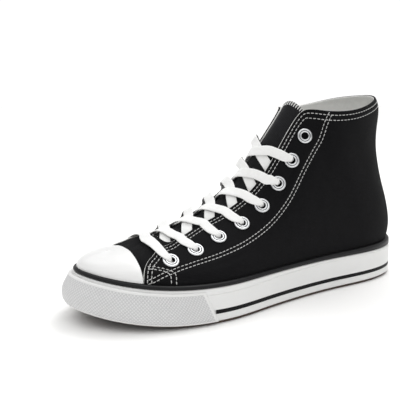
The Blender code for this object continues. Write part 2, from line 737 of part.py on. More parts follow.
def slab(name, outer, inner, colour, roughness):
    """Closed solid between two grids of points."""
    rows, count = outer.shape[:2]
    points = np.concatenate([outer.reshape(-1, 3), inner.reshape(-1, 3)])
    shift = rows * count
    faces = []
    for i in range(rows - 1):
        for k in range(count - 1):
            a, b = i * count + k, (i + 1) * count + k
            faces.append((a, b, b + 1, a + 1))
            faces.append((shift + a, shift + a + 1, shift + b + 1, shift + b))
    for i in range(rows - 1):
        for k in (0, count - 1):
            a, b = i * count + k, (i + 1) * count + k
            faces.append((a, b, shift + b, shift + a))
    for k in range(count - 1):
        for i in (0, rows - 1):
            a, b = i * count + k, i * count + k + 1
            faces.append((a, b, shift + b, shift + a))
    return mesh_object(name, points, faces, colour, roughness)


def make_tongue():
    """Tongue under the quarters, from under the vamp to above the collar's front."""
    keys = np.linspace(rib_key("vamp"), rib_key("collar corner"), 15)
    depth = WALL + TONGUE_GAP
    outer = []
    inner = []
    for key in keys:
        half = TONGUE_REACH + section(key)[2]
        far = np.linspace(-half, half, 11)
        outer.append(across(key, far, -depth)[0])
        inner.append(across(key, far, -depth - TONGUE_THICKNESS)[0])
    reach = outer[-1].mean(axis=0) - outer[-2].mean(axis=0)
    reach *= TONGUE_ABOVE_COLLAR / np.linalg.norm(reach)
    outer.append(outer[-1] + reach)
    inner.append(inner[-1] + reach)
    slab("tongue", np.array(outer), np.array(inner), "#161618", 0.9)


def make_toe_cap():
    """Rubber cap over the toe, between two forms outside the vamp."""
    side = rib_columns(WALL_COLUMNS)
    side = side[side <= rib_key("cap edge") + 1e-9]
    keys = np.concatenate([-side[:0:-1], side])
    ups = WALL_ROWS.copy()
    ups[0] = CAP_FOOT
    grid_key, grid_up = np.meshgrid(keys, ups, indexing="ij")
    over = TOE_CAP_THICKNESS - QUARTER_STEP
    outer = offset_form(grid_key, grid_up, np.full(grid_up.shape, over))
    inner = offset_form(grid_key, grid_up, np.full(grid_up.shape, 1.5 * GAP - QUARTER_STEP))
    for grid in (outer, inner):
        middle = (grid[:, -1] + grid[::-1, -1]) / 2
        middle[:, 0] = 0.0
        grid[:, -1] = middle
    count, rows = grid_up.shape
    points = np.concatenate([outer.reshape(-1, 3), inner.reshape(-1, 3)])
    shift = count * rows
    faces = []
    for i in range(count - 1):
        for k in range(rows - 1):
            a, b = i * rows + k, (i + 1) * rows + k
            faces.append((a, b, b + 1, a + 1))
            faces.append((shift + a, shift + a + 1, shift + b + 1, shift + b))
        a, b = i * rows, (i + 1) * rows
        faces.append((b, a, shift + a, shift + b))
    for k in range(rows - 1):
        for i in (0, count - 1):
            a = i * rows + k
            faces.append((a, a + 1, shift + a + 1, shift + a))
    mesh_object("toe_cap", points, faces, "#f1f1ef", 0.35)


def band(name, path, normals, width, thickness):
    """Flat lace along a path: closed mesh with square ends."""
    path = np.asarray(path)
    normals = np.asarray(normals)
    tangent = np.gradient(path, axis=0)
    across_way = np.cross(tangent, normals)
    across_way /= np.linalg.norm(across_way, axis=1)[:, None]
    up = np.cross(across_way, tangent)
    up /= np.linalg.norm(up, axis=1)[:, None]
    profiles = []
    for p, s, n in zip(path, across_way, up):
        w, h = s * width / 2, n * thickness / 2
        profiles.append(np.array([p - w - h, p + w - h, p + w + h, p - w + h]))
    return strip(name, path, profiles, "#f7f7f5", 0.85)


def lace_path(stations):
    """Path and normals of a lace through stations of rib key, distance and height out."""
    path = []
    normals = []
    for key, far, out in stations:
        point, normal = across(key, far, out)
        path.append(point[0])
        normals.append(normal[0])
    return path, normals


def make_laces():
    """Flat lace over the throat: one straight bar, then crossings up to the last pair in use."""
    keys = eyelet_keys()
    clear = EYELET_SEAT + EYELET_METAL + LACE_OVER_EYELET + LACE_THICKNESS / 2
    half = section(keys[0])[2] + EYELET_INSETS[0]
    stations = []
    for t in np.linspace(-1, 1, 13):
        key = BAR_KEY + (keys[0] - BAR_KEY) * abs(t) ** BAR_BEND
        stations.append((key, half * t, clear))
    path, normals = lace_path(stations)
    band("lace_bar", path, normals, LACE_WIDTH, LACE_THICKNESS)
    for level in range(EYELETS - 2):
        low, high = keys[level], keys[level + 1]
        straps = []
        for side in (1, -1):
            gap = section((low + high) / 2)[2]
            end = section(high)[2] + EYELET_INSETS[level + 1]
            stations = []
            for t in np.linspace(0, 1, 9):
                far = -0.55 * gap + t * (end + 0.55 * gap)
                key = low + (high - low) * t ** STRAP_BEND
                over = clear * min(1.0, 0.35 + 1.4 * t) + (LACE_THICKNESS if side > 0 else 0.0) * math.sin(
                    math.pi * min(1.0, 2.6 * t))
                stations.append((key, side * far, over))
            path, normals = lace_path(stations)
            name = f"lace_cross_{level + 1}" if side > 0 else f"lace_under_{level + 1}"
            straps.append(band(name, path, normals, LACE_WIDTH, LACE_THICKNESS))
        join = straps[0].modifiers.new("join", "BOOLEAN")
        join.operation = "UNION"
        join.solver = "EXACT"
        join.object = straps[1]
        straps[1].hide_render = True
        straps[1].display_type = "WIRE"


def centre():
    """Moves the whole shoe so that the box round it is centred over the origin."""
    made = [piece for piece in bpy.data.objects if not piece.hide_render]
    corners = np.array([piece.matrix_world @ Vector(corner) for piece in made for corner in piece.bound_box])
    middle = (corners.min(axis=0) + corners.max(axis=0)) / 2
    shift = Matrix.Translation((-middle[0], -middle[1], 0))
    for piece in bpy.data.objects:
        piece.matrix_world = shift @ piece.matrix_world


def main():
    """Clears the scene and makes every piece."""
    for old in list(bpy.data.objects):
        bpy.data.objects.remove(old, do_unlink=True)
    make_sole()
    make_trim()
    upper = make_upper()
    make_eyelets(upper)
    make_tongue()
    make_toe_cap()
    make_laces()
    centre()


main()
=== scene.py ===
"""Dresses the high top sneaker: canvas, cotton lining, rubber, metal eyelets, flat lace, stitches.

Metres, +Z up, toe towards -Y, outer side of the foot towards +X. The sizes, tables and section
functions are the shoe's own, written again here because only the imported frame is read.
"""
import math

import bmesh
import bpy
import numpy as np
from mathutils import Matrix, Vector
from mathutils.kdtree import KDTree


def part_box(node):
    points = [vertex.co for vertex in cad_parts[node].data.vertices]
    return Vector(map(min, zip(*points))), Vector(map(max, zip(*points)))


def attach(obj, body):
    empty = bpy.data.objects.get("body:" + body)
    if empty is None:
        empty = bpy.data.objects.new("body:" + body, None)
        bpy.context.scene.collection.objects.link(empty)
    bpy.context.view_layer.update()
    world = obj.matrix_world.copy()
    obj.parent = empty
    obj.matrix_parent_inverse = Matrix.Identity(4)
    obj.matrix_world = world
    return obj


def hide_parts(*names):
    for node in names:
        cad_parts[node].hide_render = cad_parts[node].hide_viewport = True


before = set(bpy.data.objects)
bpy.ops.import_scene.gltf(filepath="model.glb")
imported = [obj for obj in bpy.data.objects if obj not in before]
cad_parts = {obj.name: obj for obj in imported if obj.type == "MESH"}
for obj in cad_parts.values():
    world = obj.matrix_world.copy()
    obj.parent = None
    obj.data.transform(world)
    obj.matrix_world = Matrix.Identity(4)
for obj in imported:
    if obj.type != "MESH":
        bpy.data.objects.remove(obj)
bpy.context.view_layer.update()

# Sole
SOLE_LENGTH = 0.292
BALL_WIDTH = 0.103
OUTSOLE_THICKNESS = 0.002
OUTSOLE_TUCK = 0.0012
DECK_HEIGHT = 0.0106
FOXING_HEIGHT = 0.0256
FOXING_THICKNESS = 0.003
FOXING_LEAN = 0.0009
TOE_SPRING = 0.0098
SPRING_BEND = 2.7
# Share of SOLE_LENGTH: where the toe spring starts in front of the middle of the sole
SPRING_START_SHARE = 0.158
RAND_HEIGHT = 0.0028
RAND_HEEL_GAIN = 0.0030
RAND_THICKNESS = 0.0029
STRIPE_HEIGHT = 0.0028
STRIPE_LEVEL = 0.0088
BUMPER_BULGE = 0.0072
BUMPER_EDGE = 0.0014
BUMPER_LIP = 0.0020
BUMPER_REACH = 0.0770
BUMPER_SLANT = 0.010

# Upper
INSTEP_HEIGHT = 0.062
SHAFT_HEIGHT = 0.079
WALL = 0.0020
QUARTER_STEP = 0.0009
TOE_CAP_THICKNESS = 0.0018
CAP_FOOT = 0.014
INSOLE_THICKNESS = 0.004
TONGUE_THICKNESS = 0.0018
BRIDGE_CROWN = 1.7
TONGUE_REACH = 0.020
TONGUE_GAP = 0.0010
TONGUE_ABOVE_COLLAR = 0.007

# Lacing
EYELETS = 8
EYELET_PITCH = 0.0215
# How far from the throat's edge each eyelet sits, from the toe up to the collar
EYELET_INSETS = (0.0196, 0.0196, 0.0190, 0.0176, 0.0162, 0.0148, 0.0156, 0.0152)
LACE_WIDTH = 0.008
# The bar lies over the vamp, ahead of its eyelets: rib key at its middle, and the powers of its
# bend towards the outer and the inner eyelet
BAR_KEY = 0.118
BAR_BEND_OUTER, BAR_BEND_INNER = 1.7, 0.9

# Clearance between pieces that touch on the real shoe
GAP = 0.0003

# Outline of the sole from above. along: share of SOLE_LENGTH from heel to toe.
# out: share of BALL_WIDTH from the middle line.
OUTLINE_OUTER = (
    # along, out
    (0.020, 0.160),
    (0.060, 0.265),
    (0.120, 0.330),
    (0.200, 0.357),
    (0.310, 0.362),
    (0.430, 0.388),
    (0.550, 0.437),
    (0.660, 0.488),
    (0.750, 0.482),
    (0.840, 0.425),
    (0.920, 0.310),
    (0.975, 0.160),
)
OUTLINE_INNER = (
    # along, out
    (0.975, 0.200),
    (0.920, 0.335),
    (0.840, 0.435),
    (0.750, 0.490),
    (0.680, 0.500),
    (0.580, 0.452),
    (0.460, 0.365),
    (0.360, 0.325),
    (0.260, 0.325),
    (0.180, 0.335),
    (0.100, 0.300),
    (0.050, 0.235),
    (0.020, 0.150),
)
OUTLINE_TOE = -0.020

# Ribs of the upper from the toe back to the heel, alike on both sides.
# foot: where the rib leaves the sole, share of SOLE_LENGTH from the toe.
# top: where it ends at the ridge, throat or collar, share of SOLE_LENGTH from the toe.
# instep, shaft: height of that end over the deck, shares of INSTEP_HEIGHT and SHAFT_HEIGHT.
# half: half width at that end, share of BALL_WIDTH.
# rise: share of the height at which the rib starts to lean in.
# crown: share of the width over which it flattens.
# slope: steepness at its end.
# low, mid, high: how far it bows out, shares of BALL_WIDTH.
RIBS = (
    # name, foot, top, instep, shaft, half, rise, crown, slope, low, mid, high
    ("toe", 0.000, 0.082, 0.518, 0.000, 0.000, 0.62, 0.52, 0.20, 0.000, 0.000, 0.000),
    ("toe corner", 0.022, 0.090, 0.520, 0.000, 0.000, 0.62, 0.52, 0.17, 0.000, 0.000, 0.000),
    ("toe side", 0.055, 0.100, 0.530, 0.000, 0.000, 0.60, 0.52, 0.10, 0.000, 0.000, 0.000),
    ("cap edge", 0.102, 0.114, 0.540, 0.000, 0.000, 0.54, 0.54, 0.06, 0.000, 0.000, 0.000),
    ("vamp", 0.106, 0.150, 0.586, 0.000, 0.000, 0.48, 0.52, 0.12, 0.000, 0.000, 0.000),
    ("quarter edge", 0.110, 0.178, 0.654, 0.000, 0.000, 0.46, 0.48, 0.16, 0.000, 0.000, 0.000),
    ("throat end", 0.130, 0.196, 0.706, 0.000, 0.000, 0.44, 0.46, 0.20, 0.000, 0.000, 0.000),
    ("first eyelet", 0.172, 0.216, 0.660, 0.000, 0.135, 0.38, 0.42, 0.42, 0.000, 0.000, 0.000),
    ("ball", 0.253, 0.298, 0.775, 0.000, 0.110, 0.36, 0.40, 0.56, 0.000, 0.000, 0.000),
    ("waist", 0.363, 0.390, 0.930, 0.000, 0.102, 0.38, 0.40, 0.64, 0.000, 0.000, 0.000),
    ("instep", 0.473, 0.471, 1.000, 0.130, 0.106, 0.46, 0.40, 0.78, 0.000, 0.000, 0.000),
    ("ankle", 0.575, 0.536, 1.000, 0.430, 0.118, 0.54, 0.40, 0.95, 0.000, 0.000, 0.000),
    ("collar corner", 0.644, 0.609, 1.000, 0.820, 0.134, 0.60, 0.36, 1.20, 0.000, 0.000, 0.000),
    ("corner bend", 0.671, 0.629, 1.000, 0.868, 0.172, 0.60, 0.34, 1.60, 0.000, 0.000, 0.000),
    ("collar front", 0.712, 0.660, 1.000, 0.858, 0.265, 0.50, 0.20, 2.40, 0.000, 0.000, 0.000),
    ("collar side", 0.791, 0.726, 1.000, 0.860, 0.330, 0.40, 0.15, 4.00, 0.020, -0.030, 0.000),
    ("collar rear", 0.877, 0.796, 1.000, 0.905, 0.310, 0.40, 0.20, 4.00, 0.065, -0.120, 0.030),
    ("heel side", 0.945, 0.863, 1.000, 0.965, 0.214, 0.40, 0.25, 4.00, 0.095, -0.230, 0.065),
    ("heel corner", 0.983, 0.898, 1.000, 0.990, 0.107, 0.40, 0.30, 4.00, 0.112, -0.290, 0.085),
    ("heel", 1.000, 0.911, 1.000, 1.000, 0.000, 0.40, 0.30, 4.00, 0.115, -0.300, 0.087),
)
# The throat's edge on the inner side stands further out and higher than the outer side's.
# half: further out, share of BALL_WIDTH. instep: higher, share of INSTEP_HEIGHT.
INNER_THROAT = (
    # name, half, instep
    ("ball", 0.019, 0.005),
    ("waist", 0.036, 0.035),
    ("instep", 0.070, 0.037),
    ("ankle", 0.024, 0.027),
    ("collar corner", -0.006, -0.006),
)
RIB_NAMES = [rib[0] for rib in RIBS]
RIB_VALUES = np.array([rib[1:] for rib in RIBS])


def unit(vectors):
    """The same directions at length 1."""
    return vectors / np.linalg.norm(vectors, axis=-1)[..., None]


def travelled(line):
    """Distance along a line of points from its start to each of them."""
    return np.concatenate([[0], np.cumsum(np.linalg.norm(np.diff(line, axis=0), axis=1))])


def bent(values, slopes, i, h, b):
    """Values a share b of the step h after the value i, with given slopes at both ends."""
    a = 1 - b
    return (values[i] * a * a * (1 + 2 * b) + values[i + 1] * b * b * (1 + 2 * a)
            + h * a * b * (slopes[i] * a - slopes[i + 1] * b))


def spline(keys, values):
    """Smooth curve through values at keys that repeat every 2 units."""
    keys = np.concatenate([keys - 2.0, keys, keys + 2.0])
    values = np.concatenate([values] * 3)
    steps = np.diff(keys)
    count = len(keys)
    matrix = np.eye(count)
    right = np.zeros_like(values)
    for i in range(1, count - 1):
        matrix[i, i - 1] = steps[i - 1]
        matrix[i, i] = 2 * (steps[i - 1] + steps[i])
        matrix[i, i + 1] = steps[i]
        right[i] = 6 * ((values[i + 1] - values[i]) / steps[i] - (values[i] - values[i - 1]) / steps[i - 1])
    bend = np.linalg.solve(matrix, right)

    def at(where):
        where = np.asarray(where, float)
        i = np.clip(np.searchsorted(keys, where) - 1, 0, count - 2)
        h = steps[i][..., None]
        b = (where - keys[i])[..., None] / h
        a = 1 - b
        curve = ((a ** 3 - a) * bend[i] + (b ** 3 - b) * bend[i + 1]) * h ** 2 / 6
        return a * values[i] + b * values[i + 1] + curve

    return at


def steady(keys, values):
    """Curve through rising values at keys that never turns back between them."""
    keys = np.concatenate([keys - 2.0, keys, keys + 2.0])
    values = np.concatenate([values - 2.0, values, values + 2.0])
    steps = np.diff(keys)
    slopes = np.diff(values) / steps
    mean = 2 * slopes[1:] * slopes[:-1] / (slopes[1:] + slopes[:-1])
    mean = np.concatenate([slopes[:1], mean, slopes[-1:]])

    def at(where):
        where = np.asarray(where, float)
        i = np.clip(np.searchsorted(keys, where) - 1, 0, len(steps) - 1)
        return bent(values, mean, i, steps[i], (where - keys[i]) / steps[i])

    return at


def outline_samples():
    """Sole's outline as fine points and outward normals. Its key runs from -1 at the heel,
    up the inner side, through 0 at the toe and down the outer side to 1 at the heel."""
    points = [(OUTLINE_TOE, 1.0)]
    points += [(out, along) for along, out in reversed(OUTLINE_OUTER)]
    points += [(0.0, 0.0)]
    points += [(-out, along) for along, out in reversed(OUTLINE_INNER)]
    points = np.array(points) * (BALL_WIDTH, -SOLE_LENGTH) + (0, SOLE_LENGTH / 2)
    chord = np.linalg.norm(np.diff(points, axis=0, append=points[:1]), axis=1)
    keys = np.concatenate([[0], np.cumsum(np.sqrt(chord))])
    keys = keys * 2 / keys[-1]
    curve = spline(keys[:-1], points)
    fine = curve(np.linspace(0, 2, 4001))
    length = travelled(fine)
    heel = np.argmax(fine[:, 1])
    share = np.where(length <= length[heel], length / length[heel],
                     (length - length[-1]) / (length[-1] - length[heel]))
    tangent = np.gradient(fine, axis=0)
    tangent[0] = tangent[-1] = fine[1] - fine[-2]
    normal = -unit(np.c_[-tangent[:, 1], tangent[:, 0]])
    order = np.concatenate([np.arange(heel + 1, 4000), np.arange(heel + 1)])
    share = share[order]
    fine = fine[order]
    normal = normal[order]
    ends = share[[-1]] - 2
    return (np.concatenate([ends, share]), np.concatenate([fine[-1:], fine]),
            np.concatenate([normal[-1:], normal]))


EDGE_KEYS, EDGE_POINTS, EDGE_NORMALS = outline_samples()


def wrap(where):
    """Key brought back between -1 and 1."""
    return (np.asarray(where, float) + 1) % 2 - 1


def edge(where, inset):
    """Point of the sole's outline, moved in by inset, and the outward normal there."""
    where = wrap(where)
    point = np.stack([np.interp(where, EDGE_KEYS, EDGE_POINTS[:, i]) for i in (0, 1)], axis=-1)
    normal = unit(np.stack([np.interp(where, EDGE_KEYS, EDGE_NORMALS[:, i]) for i in (0, 1)], axis=-1))
    return point - normal * np.asarray(inset, float)[..., None], normal


def lift(y):
    """How far the toe spring has raised the sole."""
    start = -SPRING_START_SHARE * SOLE_LENGTH
    return TOE_SPRING * np.clip((start - y) / (start + SOLE_LENGTH / 2), 0, 1.06) ** SPRING_BEND


def rand_top(y):
    """Height of the rand's upper edge over the raised sole, a little more at the heel."""
    back = np.clip(y / SOLE_LENGTH + 0.1, 0, 0.6) / 0.6
    return FOXING_HEIGHT + RAND_HEIGHT + RAND_HEEL_GAIN * back ** 2


def foot_keys(side):
    """Key on the sole's outline of each rib's foot."""
    on_side = EDGE_KEYS * side >= 0
    keys = np.abs(EDGE_KEYS[on_side])
    ys = EDGE_POINTS[on_side, 1]
    order = np.argsort(keys)
    share = (ys[order] + SOLE_LENGTH / 2) / SOLE_LENGTH
    found = np.interp(RIB_VALUES[:, 0], np.maximum.accumulate(share), keys[order])
    found[0] = 0.0
    found[-1] = 1.0
    return found * side


def rib_keys():
    """Each rib's own key, from 0 at the toe to 1 at the heel."""
    moved = np.abs(np.diff(RIB_VALUES[:, 0])) + np.linalg.norm(np.diff(RIB_VALUES[:, [1, 4]], axis=0), axis=1)
    key = np.concatenate([[0], np.cumsum(moved + 0.02)])
    return key / key[-1]


RIB_KEYS = rib_keys()


def rib_curves():
    """Smooth loops through the ribs, medial side at negative keys and lateral side at
    positive: key of the foot on the sole's outline, and the other columns of the table."""
    medial = RIB_VALUES[:, 1:] * (1, 1, 1, -1, 1, 1, 1, 1, 1, 1)
    for name, half, instep in INNER_THROAT:
        medial[RIB_NAMES.index(name), [3, 1]] += (-half, instep)
    keys = np.concatenate([-RIB_KEYS[:0:-1], RIB_KEYS[:-1]])
    feet = np.concatenate([foot_keys(-1)[:0:-1], foot_keys(1)[:-1]])
    rest = np.concatenate([medial[:0:-1], RIB_VALUES[:-1, 1:]])
    return steady(keys, feet), spline(keys, rest)


FOOT_CURVE, RIB_CURVE = rib_curves()


def rib_key(name):
    """Key of the named rib."""
    return RIB_KEYS[RIB_NAMES.index(name)]


UPPER_INSET = FOXING_LEAN + FOXING_THICKNESS + GAP


def form(where, up):
    """Outer face of the upper: rib key and share of the way up from the rand."""
    where, up = np.broadcast_arrays(np.asarray(where, float), np.asarray(up, float))
    row = RIB_CURVE(wrap(where))
    foot, normal = edge(FOOT_CURVE(wrap(where)), UPPER_INSET)
    foot_z = rand_top(foot[..., 1]) + lift(foot[..., 1])
    top_y = (row[..., 0] - 0.5) * SOLE_LENGTH
    top_x = row[..., 3] * BALL_WIDTH
    top_z = DECK_HEIGHT + lift(top_y) + row[..., 1] * INSTEP_HEIGHT + row[..., 2] * SHAFT_HEIGHT
    across = np.stack([top_x, top_y], axis=-1) - foot
    reach = np.linalg.norm(across, axis=-1)
    height = top_z - foot_z
    rise, crown, slope = row[..., 4], row[..., 5], row[..., 6]
    drop = np.minimum(slope * crown * reach, 0.5 * height)
    a, b = 1 - up, up
    h = 3 * a * b * b * (1 - crown) + b ** 3
    z = 3 * a * a * b * rise * height + 3 * a * b * b * (height - drop) + b ** 3 * height
    bow = row[..., 7] * 4 * b * a ** 3 + row[..., 8] * 6 * b * b * a * a + row[..., 9] * 4 * b ** 3 * a
    flat = foot + across * h[..., None] + normal * (bow * BALL_WIDTH)[..., None]
    return np.concatenate([flat, (foot_z + z)[..., None]], axis=-1)


def facing(where, up):
    """Outward unit normal of the upper's form."""
    where, up = np.broadcast_arrays(np.asarray(where, float), np.asarray(up, float))
    e = 0.002
    up = np.minimum(up, 0.985)
    low = np.clip(up - e, 0, 1)
    high = np.clip(up + e, 0, 1)
    along = form(where + e, up) - form(where - e, up)
    rising = form(where, high) - form(where, low)
    return unit(np.cross(along, rising))


def rib_columns(steps):
    """Keys of the wall's columns: so many steps between each rib and the next."""
    keys = []
    for low, high, count in zip(RIB_KEYS[:-1], RIB_KEYS[1:], steps):
        keys += list(np.linspace(low, high, count, endpoint=False))
    return np.array(keys + [1.0])


# Columns of the upper's wall between each rib and the next
WALL_COLUMNS = (3, 2, 2, 1, 1, 1, 2, 2, 3, 2, 3, 2, 1, 2, 2, 2, 2, 2, 3)


def foot_loop():
    """Keys round the sole's outline where the wall's columns stand, from the heel up the
    inner side to the toe and back down the outer side."""
    side = rib_columns(WALL_COLUMNS)
    t = np.concatenate([-side[::-1], side[1:-1]])
    return FOOT_CURVE(t)


def ring(keys, inset, height):
    """Loop of points round the sole at an inset and a height over the raised sole.
    The height may be a function of y."""
    flat, _ = edge(keys, np.broadcast_to(inset, keys.shape))
    over = height(flat[:, 1]) if callable(height) else height
    return np.c_[flat, over + lift(flat[:, 1])]


def wall_inset(height):
    """How far in the foxing's outer face stands at a height over the ground."""
    return FOXING_LEAN * height / FOXING_HEIGHT


def bumper_end(side):
    """Key on the outline where the toe bumper ends, so far back along the side."""
    on_side = EDGE_KEYS * side >= 0
    ys = EDGE_POINTS[on_side, 1]
    keys = EDGE_KEYS[on_side]
    order = np.argsort(ys)
    return np.interp(-SOLE_LENGTH / 2 + BUMPER_REACH, ys[order], keys[order])


def key_shift(distance):
    """Change of outline key over a distance along the sole's side."""
    half = np.linalg.norm(np.diff(EDGE_POINTS, axis=0), axis=1).sum() / 2
    return distance / half


# Outer profile of the toe bumper. height: share from its foot to its lip.
# bulge: share of its greatest thickness.
BUMPER_PROFILE = (
    # height, bulge
    (0.00, 0.68),
    (0.12, 0.94),
    (0.32, 1.02),
    (0.58, 1.02),
    (0.85, 0.94),
    (0.96, 0.86),
    (1.00, 0.66),
)


def section(key):
    """Line across the shoe at a rib key, over the throat and down both sides, measured from
    its middle: outer side positive. The throat is bridged along the sides' own slope."""
    ups = np.linspace(0.25, 1.0, 90)
    outer = form(key, ups)
    inner = form(-key, ups)
    width = np.linalg.norm(outer[-1] - inner[-1])
    bridge = np.empty((0, 3))
    if width > 1e-4:
        pull_in = (inner[-1] - inner[-2]) / np.linalg.norm(inner[-1] - inner[-2]) * width * BRIDGE_CROWN
        pull_out = (outer[-2] - outer[-1]) / np.linalg.norm(outer[-2] - outer[-1]) * width * BRIDGE_CROWN
        t = np.linspace(0, 1, 21)[1:-1, None]
        bridge = ((2 * t ** 3 - 3 * t ** 2 + 1) * inner[-1] + (t ** 3 - 2 * t ** 2 + t) * pull_in
                  + (3 * t ** 2 - 2 * t ** 3) * outer[-1] + (t ** 3 - t ** 2) * pull_out)
        line = np.concatenate([inner, bridge, outer[::-1]])
    else:
        line = np.concatenate([inner, outer[-2::-1]])
    far = travelled(line)
    left, right = far[len(inner) - 1], far[len(inner) + len(bridge)] if len(bridge) else far[len(inner) - 1]
    return line, far - (left + right) / 2, (right - left) / 2


def across(key, far, out=0.0):
    """Points over the throat and the quarters at signed distances from the middle line,
    moved out along the surface's normal."""
    far = np.atleast_1d(np.asarray(far, float))
    e = 0.0012

    def at(where, distance):
        line, measure, _ = section(where)
        return np.stack([np.interp(distance, measure, line[:, i]) for i in range(3)], axis=-1)

    point = at(key, far)
    side = at(key, far + e) - at(key, far - e)
    along = at(key + e, far) - at(key - e, far)
    normal = -unit(np.cross(side, along))
    normal *= np.sign(normal[:, 2:3] - normal[:, 1:2])
    return point + normal * np.broadcast_to(out, far.shape)[..., None], normal


def eyelet_keys():
    """Rib key of each eyelet: evenly spaced along the throat from the first."""
    keys = np.linspace(rib_key("first eyelet"), rib_key("corner bend"), 120)
    line = np.array([across(k, section(k)[2] + EYELET_INSETS[-1])[0][0] for k in keys])
    far = travelled(line)
    return np.interp(np.arange(EYELETS) * EYELET_PITCH, far, keys)


def eyelet_places(side):
    """Centre and normal of each eyelet on the outer side (1) or the inner side (-1)."""
    places = []
    for key, inset in zip(eyelet_keys(), EYELET_INSETS):
        point, normal = across(key, side * (section(key)[2] + inset))
        places.append((point[0], normal[0]))
    return places


# Sizes of what is only dressed here
CANVAS = 0.00085
COLLAR_TUCK = -0.0001
STITCH_LENGTH = 0.0023
STITCH_PITCH = 0.0031
THREAD = 0.00062
STITCH_ROW_1 = 0.0023
STITCH_ROW_2 = 0.0050
COLLAR_ROW_2 = 0.0062
ROW_SPACING = 0.0027
DIAMOND_PITCH = 0.00165
DIAMOND_DEPTH = 0.00045
# Toe bumper: how much thinner it gets towards its top, its raised top lip and its plain ends
BUMPER_SHOULDER = 0.54
LIP_WIDTH = 0.0017
LIP_RISE = 0.00022
BUMPER_PLAIN_END = 0.0032
LUG_INSET = 0.0098
LUG_RECESS = 0.0010
# Canvas round a seam: how deep and how wide it is pulled in, and how high and how far from
# the seam it puffs up beside it
PULL_DEPTH, PULL_REACH = 0.00022, 0.0011
PUFF_HEIGHT, PUFF_AWAY, PUFF_REACH = 0.00010, 0.0024, 0.0012
# Half width of the vamp's ridge that is rounded off
RIDGE_WIDTH = 0.008
# Half width of the heel strip, and how far in from its edge its rows of stitches stand, as rib keys
HEEL_STRIP = 0.045
HEEL_ROWS = (0.007, 0.016)
# How much lower the tongue's top edge is on its inner side
TONGUE_LOW_SIDE = 0.0045
OVERLOCK_THREAD = 0.00052
OVERLOCK_TURNS = 66
EYELET_DRILL = 0.00325
DRILL_SIDES = 24
CORNER_KEY = rib_key("collar corner")

# Brightness of the surroundings at the horizon, at the sides and overhead
SKY_HORIZON = 1.06
SKY_SIDE = 0.38
SKY_TOP = 1.36
# The one lamp: where it hangs and what it points at, its side in metres and its watts
LAMP_PLACE = (-0.35, 0.55, 1.25)
LAMP_TARGET = (0, 0, 0.05)
LAMP_SIZE = 0.7
LAMP_POWER = 6.0
# Camera: its turn, height and roll in degrees, and its way from the target along its own axes
CAMERA_TURN = (57.28592948, 10.81328751, 0.85185781)
CAMERA_TARGET = (0, 0, 0.0586)
CAMERA_RIGHT, CAMERA_UP, CAMERA_BACK = -0.04024559, 0.01279188, 0.49863170
CAMERA_LENS = 57.525

# Front edge of the quarter: share of the way up, rib key
QUARTER_FRONT = np.array([
    # up, key
    (0.00, 0.1129),
    (0.12, 0.1138),
    (0.25, 0.1156),
    (0.35, 0.1190),
    (0.47, 0.1280),
    (0.59, 0.1470),
    (0.73, 0.1720),
    (0.86, 0.1973),
    (1.00, 0.2330),
])
# Back edge of the toe cap: share of the way up, rib key
CAP_BACK = np.array([
    # up, key
    (0.00, 0.0950),
    (0.15, 0.0948),
    (0.32, 0.0910),
    (0.54, 0.0862),
    (0.82, 0.0830),
    (1.00, 0.0800),
])
# Middle line of the double seam behind the eyelets: rib key, share of the way up
EYESTAY_SEAM = [
    # key, up
    (0.6830, 0.985),
    (0.6720, 0.890),
    (0.6560, 0.790),
    (0.6118, 0.617),
    (0.5720, 0.545),
    (0.5331, 0.520),
    (0.4960, 0.490),
    (0.4437, 0.441),
    (0.3955, 0.429),
    (0.3466, 0.427),
    (0.3014, 0.417),
    (0.2549, 0.401),
    (0.2355, 0.380),
    (0.2098, 0.311),
    (0.1593, 0.164),
    (0.1321, 0.077),
    (0.1180, 0.020),
]
# Rows of the double seam round the front patch: rib key, share of the way up
PATCH_SEAM = [
    # key, up
    (0.1210, 0.350),
    (0.1530, 0.337),
    (0.1850, 0.350),
    (0.2050, 0.343),
    (0.2160, 0.300),
    (0.2205, 0.205),
    (0.2205, 0.110),
    (0.2205, 0.006),
]
PATCH_INNER_SEAM = [
    # key, up
    (0.1240, 0.300),
    (0.1500, 0.288),
    (0.1780, 0.298),
    (0.1950, 0.287),
    (0.2032, 0.245),
    (0.2060, 0.170),
    (0.2060, 0.090),
    (0.2060, 0.006),
]
# Soft folds of the canvas: rib key, share up, reach along the key, reach up, slant, depth
FOLDS = [
    # key, up, along, rise, slant, depth
    (0.520, 0.62, 0.050, 0.030, 0.35, -0.0007),
    (0.505, 0.52, 0.060, 0.035, 0.30, 0.0006),
    (0.480, 0.42, 0.050, 0.030, 0.25, -0.0007),
    (0.600, 0.40, 0.070, 0.050, -0.40, 0.0006),
    (0.660, 0.30, 0.080, 0.040, -0.30, -0.0005),
    (0.760, 0.55, 0.050, 0.100, 0.20, -0.0007),
    (0.810, 0.35, 0.045, 0.080, -0.20, 0.0006),
    (0.350, 0.22, 0.060, 0.050, 0.10, 0.0005),
    (0.300, 0.60, 0.020, 0.070, 0.20, -0.0005),
    (0.245, 0.14, 0.030, 0.060, 0.20, -0.0005),
    (0.155, 0.45, 0.010, 0.120, 0.10, -0.0008),
    (0.105, 0.55, 0.006, 0.140, 0.10, 0.0009),
    (0.700, 0.80, 0.030, 0.060, 0.20, 0.0005),
]


def frame_shift():
    """Offset from the middle of the sole's outline to the frame's origin."""
    low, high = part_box("midsole")
    keys = foot_loop()
    flat, _ = edge(keys, np.zeros(len(keys)))
    own = (flat.min(axis=0) + flat.max(axis=0)) / 2
    return np.array([(low.x + high.x) / 2 - own[0], (low.y + high.y) / 2 - own[1], 0.0])


SHIFT = frame_shift()


